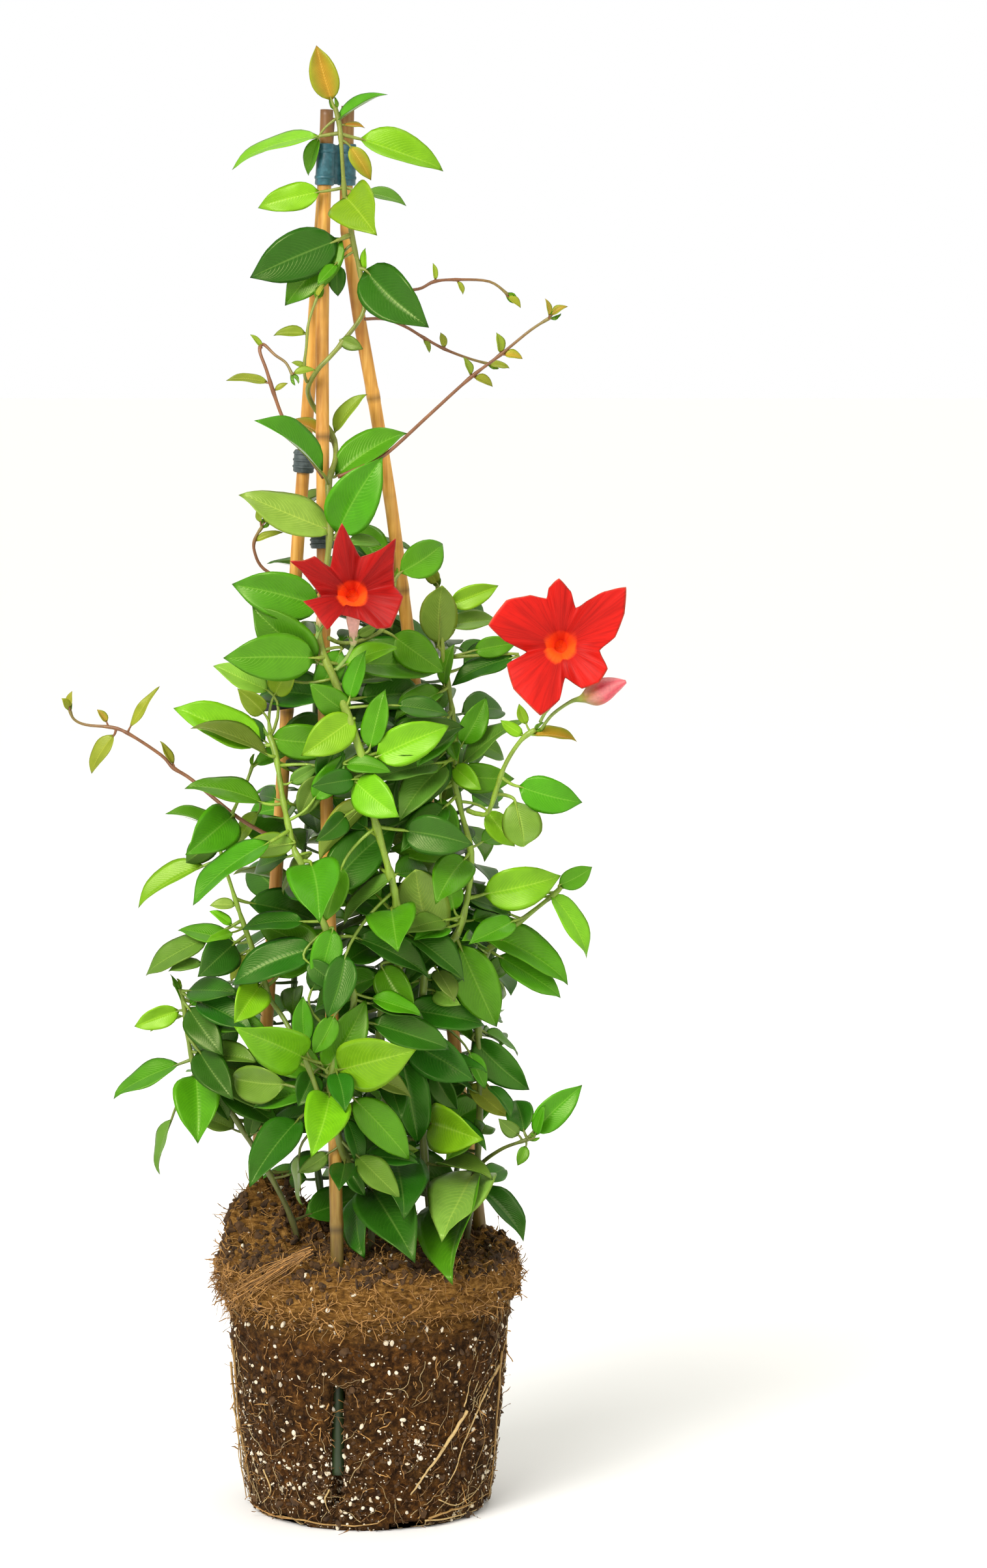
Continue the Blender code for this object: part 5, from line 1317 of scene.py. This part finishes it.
def stem_shapes():
    """Route and radii of every stem, each side shoot starting clear of what it grows from"""
    made = {}
    for name, (thick, thin, parent, route) in STEMS.items():
        points = [seen(*p) for p in route]
        radii = [lerp(thick, thin, i / (len(points) - 1)) * MM for i in range(len(points))]
        if parent:
            reach = made[parent][1][0] + radii[0] + 0.6 * MM
            away = (points[1] - points[0]).normalized()
            points[0] = points[0] + away * reach
        made[name] = (points, radii)
    return made


def attach_point(points, base, along):
    """Place on a stem where a petiole can leave it for the base of a blade"""
    best = None
    last = len(points) - 2
    for i, (a, b) in enumerate(zip(points, points[1:])):
        for k in range(6):
            p = a.lerp(b, k / 5 * (0.85 if i == last else 1))
            if i == 0 and k < 2:
                continue
            gap = base - p
            far = gap.length
            lean = gap.normalized().dot(along) if far > 1e-6 else 0
            cost = far * (1.6 - lean)
            if best is None or cost < best[0]:
                best = (cost, p)
    return best[1]


def blade_frame(leaf, depth, shift, size):
    """Base, tip, side and face directions and true width of a blade from how it is seen"""
    bx, bz, tx, tz, wide, held = leaf[:6]
    tx = lerp(bx, tx, size)
    tz = lerp(bz, tz, size)
    wide = wide * size
    seen_length = math.hypot(tx - bx, tz - bz)
    length = max(seen_length, 1.75 * wide) if "=" not in held else seen_length
    reach = math.sqrt(max(length * length - seen_length * seen_length, 0))
    if len(leaf) > 6:
        tip_depth = leaf[6] + shift
    else:
        tip_depth = depth + (reach if "<" in held else -reach) * 0.9 + shift
    base_depth = depth + shift * 0.3
    base = seen(bx, bz, base_depth)
    tip = seen(tx, tz, tip_depth)
    along = (tip - base).normalized()
    flat = Vector((-along.z, 0, along.x)).normalized()
    deep = along.cross(flat)
    true_wide = max(wide, 0.46 * (tip - base).length / MM) if "=" not in held else wide * 1.3
    turn = math.asin(min(wide / true_wide, 1))
    turn = max(turn, 0.25)
    best = None
    for sign in (1, -1):
        side = (flat * math.sin(turn) + deep * math.cos(turn) * sign).normalized()
        face = along.cross(side)
        if (face.y < 0) == ("u" in held):
            face = -face
            side = -side
        score = face.z + 0.2 * face.x * (1 if bx > 0 else -1)
        if best is None or score > best[0]:
            best = (score, side, face)
    return base, tip, best[1], best[2], true_wide * MM


def leaf_shape(start, base, tip, side, face, wide, grow=0.0):
    """Closed leaf: petiole from the stem, then a flat pointed oval arching to its tip"""
    length = (tip - base).length
    along = (tip - base).normalized()
    rows = LEAF_ROWS if length > SMALL_LEAF * MM else SMALL_LEAF_ROWS
    if length < TINY_LEAF * MM:
        rows = TINY_LEAF_ROWS
    middle = base.lerp(tip, 0.5) + face * length * ARCH
    if (base - start).length < SHORTEST * MM:
        start = base - along * SHORTEST * MM
    path = (base - start).normalized()
    bent = path.dot(along) < 0.4
    thick = PETIOLE_RADIUS * MM + grow * 0.5
    across = side - path * side.dot(path)
    if across.length < 0.3:
        across = face - path * face.dot(path)
    across.normalize()
    up = across.cross(path)
    if up.dot(face) < 0:
        up = -up
    foot = three_points(start, across, up, thick)
    neck = three_points(base - along * thick * 0.5 if bent else base, side, face, thick)
    half = BLADE_THICKNESS * MM / 2 + grow
    rings = [neck]
    for t, share in rows:
        p = base.lerp(middle, t).lerp(middle.lerp(tip, t), t)
        w = wide * share / 2 + grow
        thin = half * (1 - 0.45 * t)
        rings.append([p + side * w + face * thin, p - face * thin, p - side * w + face * thin])
    rings.append([tip + along * grow])
    blade = loft(rings)
    if bent:
        petiole = loft([foot, three_points(base + path * thick * 0.5, across, up, thick)])
        return merged([petiole, blade]), blade
    return loft([foot] + rings), blade


def three_points(middle, across, up, thick):
    return [middle + across * thick + up * thick * 0.6, middle - up * thick, middle - across * thick + up * thick * 0.6]


def merged(parts):
    verts, faces = [], []
    for part_verts, part_faces in parts:
        faces.extend(tuple(i + len(verts) for i in face) for face in part_faces)
        verts.extend(part_verts)
    return verts, faces


def place_leaf(name, leaf, depth, steps, spare):
    """Lays a leaf at the first size and shift in depth where it is clear of everything before it"""
    for size, shift in steps:
        blade = blade_frame(leaf, depth, shift, size)
        base, tip = blade[:2]
        start = rooted(attach_point(STEM_LINES[name][0], base, (tip - base).normalized()))
        if is_clear(name, start, blade, spare):
            lay_leaf(name, start, blade, leaf[5])
            return


def nearest_depth(name, x, z):
    """Depth of a stem where it is seen closest to a point"""
    route = STEMS[name][3]
    best = None
    for a, b in zip(route, route[1:]):
        for k in range(6):
            t = k / 5
            far = math.hypot(lerp(a[0], b[0], t) - x, lerp(a[1], b[1], t) - z)
            if best is None or far < best[0]:
                best = (far, lerp(a[2], b[2], t))
    return best[1]


def is_clear(name, start, blade, spare):
    """Whether a leaf with some room to spare touches nothing that stands or is laid already"""
    whole, alone = leaf_shape(start, *blade, spare)
    box, tree = bounds_of(whole), tree_of(whole)
    for owner, other_box, other in STANDING + LAID:
        if owner != name and not apart(box, other_box) and other.overlap(tree):
            return False
    tree = tree_of(alone)
    return not any(not apart(box, other_box) and other.overlap(tree) for other_box, other in LAID_BLADES.get(name, ()))


def rooted(start):
    """Start of a petiole set a little off the middle of its stem, each in its own way"""
    turn = len(LAID) * 2.4
    return start + Vector((math.cos(turn), math.sin(turn), math.cos(turn * 1.7))) * 0.3 * MM


def lay_leaf(name, start, blade, held):
    whole, alone = leaf_shape(start, *blade)
    RECORDS.append((name, start, *blade, held))
    LAID.append((name, bounds_of(whole), tree_of(whole)))
    LAID_BLADES.setdefault(name, []).append((bounds_of(alone), tree_of(alone)))


def point_at(points, part):
    """Point of a stem at a count of its spots, with a fraction"""
    k = min(int(part), len(points) - 2)
    return points[k].lerp(points[k + 1], part - k)


def blade_along(joint, out, gap, long, facing, wide):
    """Base, tip, side and face directions and width of a blade that grows straight out from a joint"""
    base = joint + out * gap * MM
    face = (facing - out * facing.dot(out)).normalized()
    return base, base + out * long * MM, out.cross(face), face, wide


def within(p):
    """Whether a tip stays inside the outline of the plant's lower part"""
    left, right = PAIR_REACH
    return left[0] * MM < p.x < right[0] * MM and left[1] * MM < p.z < right[1] * MM


def place_pairs():
    """Crossed pairs of leaves behind the ones in front, leaning out and drooping"""
    chance = random.Random(PAIR_SEED)
    for name, first, last, pairs, lean in PAIRS:
        points = STEM_LINES[name][0]
        for i in range(pairs):
            joint = point_at(points, lerp(first, last, i / (pairs - 1)) * (len(points) - 1))
            for sign in (-1, 1):
                start = rooted(joint)
                long = chance.uniform(*PAIR_LENGTH)
                droop = chance.uniform(-0.9, 0.35)
                back = lean * chance.uniform(0.2, 1.6)
                gap = chance.uniform(6, 14)
                for tries in range(8):
                    out = Vector((sign, back + 0.25 * tries, droop + 0.3 * (tries % 3))).normalized()
                    if not within(joint + out * gap * MM + out * long * MM):
                        long *= 0.86
                        continue
                    facing = Vector((0.25 * sign, -0.8 if back < 1 else 0.8, 0.6))
                    blade = blade_along(joint, out, gap, long, facing, long * 0.5 * MM)
                    if is_clear(name, start, blade, SPARE * MM * 0.5):
                        lay_leaf(name, start, blade, "f")
                        break
                    long *= 0.95


STEM_LINES = stem_shapes()
RECORDS, STANDING, LAID, LAID_BLADES = [], [], [], {}


def stands(name, shape):
    STANDING.append((name, bounds_of(shape), tree_of(shape)))


for solid in ("root_ball", "cane_front", "cane_left", "cane_right", "clip_top", "tie_left", "tie_front", "tie_loop"):
    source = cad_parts[solid].data
    stands(solid, ([v.co.copy() for v in source.vertices], [tuple(f.vertices) for f in source.polygons]))
for bloom in BLOOMS:
    stands(bloom, bloom_shape(bloom))
for tube in TUBES:
    stands(tube, tube_shape(tube))
for stem, line in STEM_LINES.items():
    stands(stem, rough_tube(*line, 4))
for stem, leaves in LEAVES.items():
    for leaf in leaves:
        steps = [(size, shift) for size in SIZES for shift in SHIFTS]
        place_leaf(stem, leaf, nearest_depth(stem, leaf[0], leaf[1]), steps, SPARE * MM * 0.5)
place_pairs()
# Leaves that hang before the front cane, each with its own depth
FRONT_LEAVES = (
    ("stem_front", (-28.9, 353.2, 0.5, 390.8, 25, "o"), -56), ("stem_front", (-19, 318, -28.2, 286, 17, "m"), -58),
    ("stem_center", (-12, 304, -22.5, 268.5, 18, "d"), -60), ("stem_front", (-31, 284, -15, 312, 15, "d"), -56),
    ("stem_front", (-18.5, 270, -30, 249, 13, "m"), -64), ("stem_front", (-29, 389, -12, 414, 14, "m"), -50),
    ("stem_front", (-25, 402, -37, 379, 14, "g"), -49), ("stem_center", (-14, 352, -23, 322, 15, "m"), -54),
    ("stem_center", (-10, 436, -31, 452, 16, "m"), -46), ("stem_center", (-16, 420, -26, 396, 15, "d"), -46),
    ("stem_front", (-34, 340, -16, 352, 12, "d"), -52), ("stem_front", (-33, 300, -12, 284, 13, "d"), -62),
    ("stem_center", (-14, 470, -29, 444, 15, "m"), -42), ("stem_center", (-12, 380, -28, 366, 13, "d"), -50),
)
for stem, leaf, depth in FRONT_LEAVES:
    place_leaf(stem, leaf, depth, [(1.0, shift) for shift in (0, -4, 4, -8, 8, -12, -16, 12)], 0.0002)


def close_crown(wanted, tries, seed):
    """Leaves at random nodes of the long stems, wherever the crown still has room"""
    chance = random.Random(seed)
    names = [name for name in STEM_LINES if name.startswith("stem")]
    made = 0
    for i in range(tries):
        owner = chance.choice(names)
        points = STEM_LINES[owner][0]
        joint = point_at(points, chance.random() * (len(points) - 1))
        turn = chance.uniform(0, 2 * math.pi)
        out = Vector((math.cos(turn), math.sin(turn), chance.uniform(-0.8, 0.45))).normalized()
        gap, long = chance.uniform(5, 14), chance.uniform(25, 44)
        tip = joint + out * gap * MM + out * long * MM
        reach = lerp(0.092, 0.056, min(max((tip.z - 0.22) / 0.26, 0), 1))
        floor_z = 0.172 if tip.x > -0.018 else 0.208
        top_z = 0.575 if "back" in owner else 0.485
        if not floor_z < tip.z < top_z or not 0.18 < joint.z < top_z - 0.015:
            continue
        if math.hypot(tip.x + 0.004, tip.y * 1.02) > reach:
            continue
        facing = Vector((tip.x * 6, tip.y * 6 - 0.25, 0.75))
        blade = blade_along(joint, out, gap, long, facing, long * chance.uniform(0.46, 0.56) * MM)
        start = rooted(joint)
        if is_clear(owner, start, blade, 0.0003):
            lay_leaf(owner, start, blade, chance.choice("ffddmg"))
            made += 1
            if made == wanted:
                break


close_crown(260, 5000, 77)


# --- Leafy stems ---
# Each stem with its leaves is one piece: a smooth green to brown skin with a swelling at each node, and waxy
# pointed blades folded along a pale midrib. Young blades are bright or bronze, old ones inside are dark.
TONES = {
    "b": (0.150, 0.360, 0.008), "m": (0.060, 0.225, 0.005), "d": (0.018, 0.098, 0.005), "o": (0.170, 0.265, 0.018),
    "z": (0.360, 0.190, 0.015), "p": (0.220, 0.370, 0.045), "g": (0.095, 0.185, 0.022), "f": (0.022, 0.112, 0.005),
}


def fine_petiole(build, start, base, tip, face, wide, tone):
    """Petiole leaving the stem in a curve and running on under the blade as its midrib"""
    length = (tip - base).length
    gap = (base - start).length
    along = (tip - base).normalized()
    bend = base - along * gap * 0.45 + Vector((0, 0, -0.06)) * gap
    middle = base.lerp(tip, 0.5) + face * length * ARCH
    thick = 0.00042 + 0.022 * wide
    path, radii = [], []
    for i in range(7):
        t = i / 6
        path.append(start.lerp(bend, t).lerp(bend.lerp(base, t), t))
        radii.append(thick * (1.25 - 0.35 * t))
    for i in range(1, 6):
        t = i * 0.15
        path.append(base.lerp(middle, t).lerp(middle.lerp(tip, t), t) - face * 0.00055)
        radii.append(thick * (0.80 - t) * 0.60)
    verts, faces, shares = hose(path, radii, 6)
    build.put(verts, faces, [blend(tone, shade(tone, 1.15), s) for s in shares], None, 1)


def stem_tone(name, share, z):
    """Brown-green at the foot, fresh green higher up; twining tips turn reddish brown; back stems get painted shade"""
    if name.startswith("vine") and name != "vine_top_left":
        return blend((0.215, 0.085, 0.030), (0.230, 0.230, 0.050), max(share - 0.7, 0) * 2.5)
    # Stems at the back are painted dark green as shade
    if "back" in name:
        return (0.060, 0.120, 0.020)
    low = (0.085, 0.085, 0.022)
    high = (0.230, 0.370, 0.030)
    tone = blend(low, high, min(max((z - 0.15) / 0.20, 0), 1))
    return blend(tone, (0.200, 0.220, 0.035), min(max((z - 0.42) / 0.12, 0), 0.8))


def fine_stem(build, name, line, leaves):
    """Skin of a stem with a swelling at each node and a small bud at its end"""
    points, radii = line
    route = smooth_route(points, 5)
    path = [p for p, share in route]
    thick = []
    for p, share in route:
        r = lerp(radii[0], radii[-1], share)
        swell = sum(math.exp(-((p - leaf[1]).length / 0.0024) ** 2) for leaf in leaves)
        thick.append(r * (1 + 0.30 * min(swell, 1.4)))
    verts, faces, shares = hose(path, thick, 9)
    tones = [stem_tone(name, s, v.z) for v, s in zip(verts, shares)]
    build.put(verts, faces, tones, None, 1)
    tip = path[-1]
    along = (path[-1] - path[-2]).normalized()
    side = along.cross(Vector((0, 1, 0.1))).normalized()
    for sign in (1, -1):
        out = (along + side * sign * 0.22).normalized()
        fine_leaf(build, tip - along * 0.001, tip + out * 0.006, side.cross(out).cross(out).normalized() * -1,
                  side * sign, 0.0022, TONES["b"], random.Random(name))


def leaf_material():
    """Leaf blades: own tone, pale midrib and curved side veins from the UVs, waxy gloss"""
    look = Finish("leaf_blade", 0.36, Specular_IOR_Level=0.36, Specular_Tint=(0.95, 1.0, 0.42, 1),
                  Coat_Weight=0.05, Coat_Roughness=0.25)
    uv = look.axes(node(look.tree, "ShaderNodeUVMap", uv_map="leaf_uv").outputs["UV"])
    across = look.maths("ABSOLUTE", look.maths("SUBTRACT", uv["X"], 0.5))
    # Side veins leave the midrib at a slant and curve up near the edge
    slant = look.times(look.maths("POWER", across, 1.5), -1.05)
    wave = look.maths("COSINE", look.times(look.plus(uv["Y"], slant), 62.0))
    fade = look.maths("SUBTRACT", 1.0, look.times(across, 1.9))
    vein = look.times(look.maths("POWER", look.maths("ABSOLUTE", wave), 14.0), look.maths("MAXIMUM", fade, 0.0))
    near = look.maths("MAXIMUM", look.maths("SUBTRACT", 1.0, look.times(across, 26.0)), 0.0)
    soft_rib = look.maths("POWER", near, 2.0)
    fine = look.noise(900, 2)
    tone = look.tone()
    body = look.multiply(tone, (0.62, 0.70, 0.55), look.ramp(look.noise(140, 4), (0.35, 0.0), (0.75, 0.55)))
    body = look.mix(body, look.multiply(tone, (1.9, 1.6, 1.0)), look.ramp(across, (0.43, 0.0), (0.5, 0.35)))
    pale = look.multiply(tone, (2.1, 1.65, 1.5))
    body = look.mix(body, pale, look.times(vein, 0.30))
    body = look.mix(body, look.mix(pale, (0.30, 0.42, 0.10), 0.35), look.times(soft_rib, 0.60))
    look.set("Base Color", body)
    look.set("Roughness", look.plus(0.20, look.times(fine, 0.24)))
    rib = look.maths("LESS_THAN", across, 0.018)
    height = look.plus(look.times(vein, -0.6), look.times(rib, -1.2))
    return look.relief(look.plus(height, look.times(fine, 0.30)), 0.35, 0.0004)


def stem_material():
    """Stems and petioles: own tone, faint lengthwise streaks and tiny pale specks"""
    look = Finish("stem_skin", 0.42)
    tone = look.tone()
    streak = look.noise(260, 3, 0.6, stretch=(1, 1, 0.12))
    body = look.multiply(tone, (0.55, 0.48, 0.42), look.ramp(streak, (0.35, 0.0), (0.7, 0.8)))
    specks = look.ramp(look.noise(1500, 1), (0.66, 0.0), (0.72, 0.5))
    look.set("Base Color", look.mix(body, look.multiply(tone, (1.9, 1.8, 1.6)), specks))
    return look.relief(streak, 0.4, 0.0004)


leaf_look = leaf_material()
stem_look = stem_material()
for stem, line in STEM_LINES.items():
    build = Build()
    own = [record for record in RECORDS if record[0] == stem]
    chance = random.Random(stem)
    fine_stem(build, stem, line, own)
    for name, start, base, tip, side, face, wide, held in own:
        tone = TONES[held[0]]
        if held[0] == "f" and chance.random() < 0.35:
            tone = blend(tone, TONES["m"], 0.75)
        if stem.startswith("vine"):
            tone = blend(tone, (0.30, 0.26, 0.03), 0.55)
        fine_leaf(build, base, tip, side, face, wide, tone, chance)
        fine_petiole(build, start, base, tip, face, wide, stem_tone(stem, 0.5, base.z))
    piece = build.make(stem + "_leafy", [leaf_look, stem_look])
    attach(piece, "root")
    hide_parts(stem)


# --- Camera, lamps and floor ---
# The camera stands at the height and distance of the photograph and looks seven degrees down.
# Two broad suns, a softbox and a crown lamp light the plant over a plain pale floor and a white surround.
camera = bpy.data.objects.new("camera", bpy.data.cameras.new("camera"))
bpy.context.scene.collection.objects.link(camera)
camera.location = (0.06825, -2.62, 0.719)
camera.rotation_euler = (math.radians(83), 0, 0)
camera.data.sensor_width = 36
camera.data.lens = 111.92
camera.data.clip_start = 0.05
bpy.context.scene.camera = camera


def lamp(name, kind, energy, size, place, aim=(0, 0, 0.4)):
    light = bpy.data.lights.new(name, kind)
    light.energy = energy
    light.color = (1.0, 0.98, 0.93)
    if kind == "SUN":
        light.angle = size
    else:
        light.size = size
    thing = bpy.data.objects.new(name, light)
    thing.location = place
    thing.rotation_euler = (Vector(aim) - Vector(place)).to_track_quat("-Z", "Y").to_euler()
    bpy.context.scene.collection.objects.link(thing)


lamp("key", "SUN", 2.3, 0.7, (-1.1, -1.6, 1.9))
lamp("fill", "SUN", 0.9, 1.2, (1.7, -1.4, 1.3))
lamp("softbox", "AREA", 20, 0.7, (-1.0, -1.5, 1.7))
lamp("crown", "AREA", 9, 1.0, (0.3, 0.5, 2.2))
world = bpy.data.worlds.new("studio")
bpy.context.scene.world = world
world.use_nodes = True
sky = world.node_tree
in_view = node(sky, "ShaderNodeLightPath").outputs["Is Camera Ray"]
level = node(sky, "ShaderNodeMapRange", {"Value": in_view, "To Min": 0.64, "To Max": 1.0})
warm, white = (1.0, 0.985, 0.88, 1), (1.0, 1.0, 1.0, 1)
tint = node(sky, "ShaderNodeMix", {0: in_view, 6: warm, 7: white}, data_type="RGBA")
sky.links.new(tint.outputs[2], sky.nodes["Background"].inputs["Color"])
sky.links.new(level.outputs["Result"], sky.nodes["Background"].inputs["Strength"])
bpy.context.scene.view_settings.view_transform = "Standard"
floor_mesh = bpy.data.meshes.new("floor")
floor_mesh.from_pydata([(-9, -6, 0), (9, -6, 0), (9, 14, 0), (-9, 14, 0)], [], [(0, 1, 2, 3)])
floor = bpy.data.objects.new("floor", floor_mesh)
bpy.context.scene.collection.objects.link(floor)
floor_mesh.materials.append(Finish("floor", 0.6, Base_Color=(0.94, 0.94, 0.96, 1)).material)
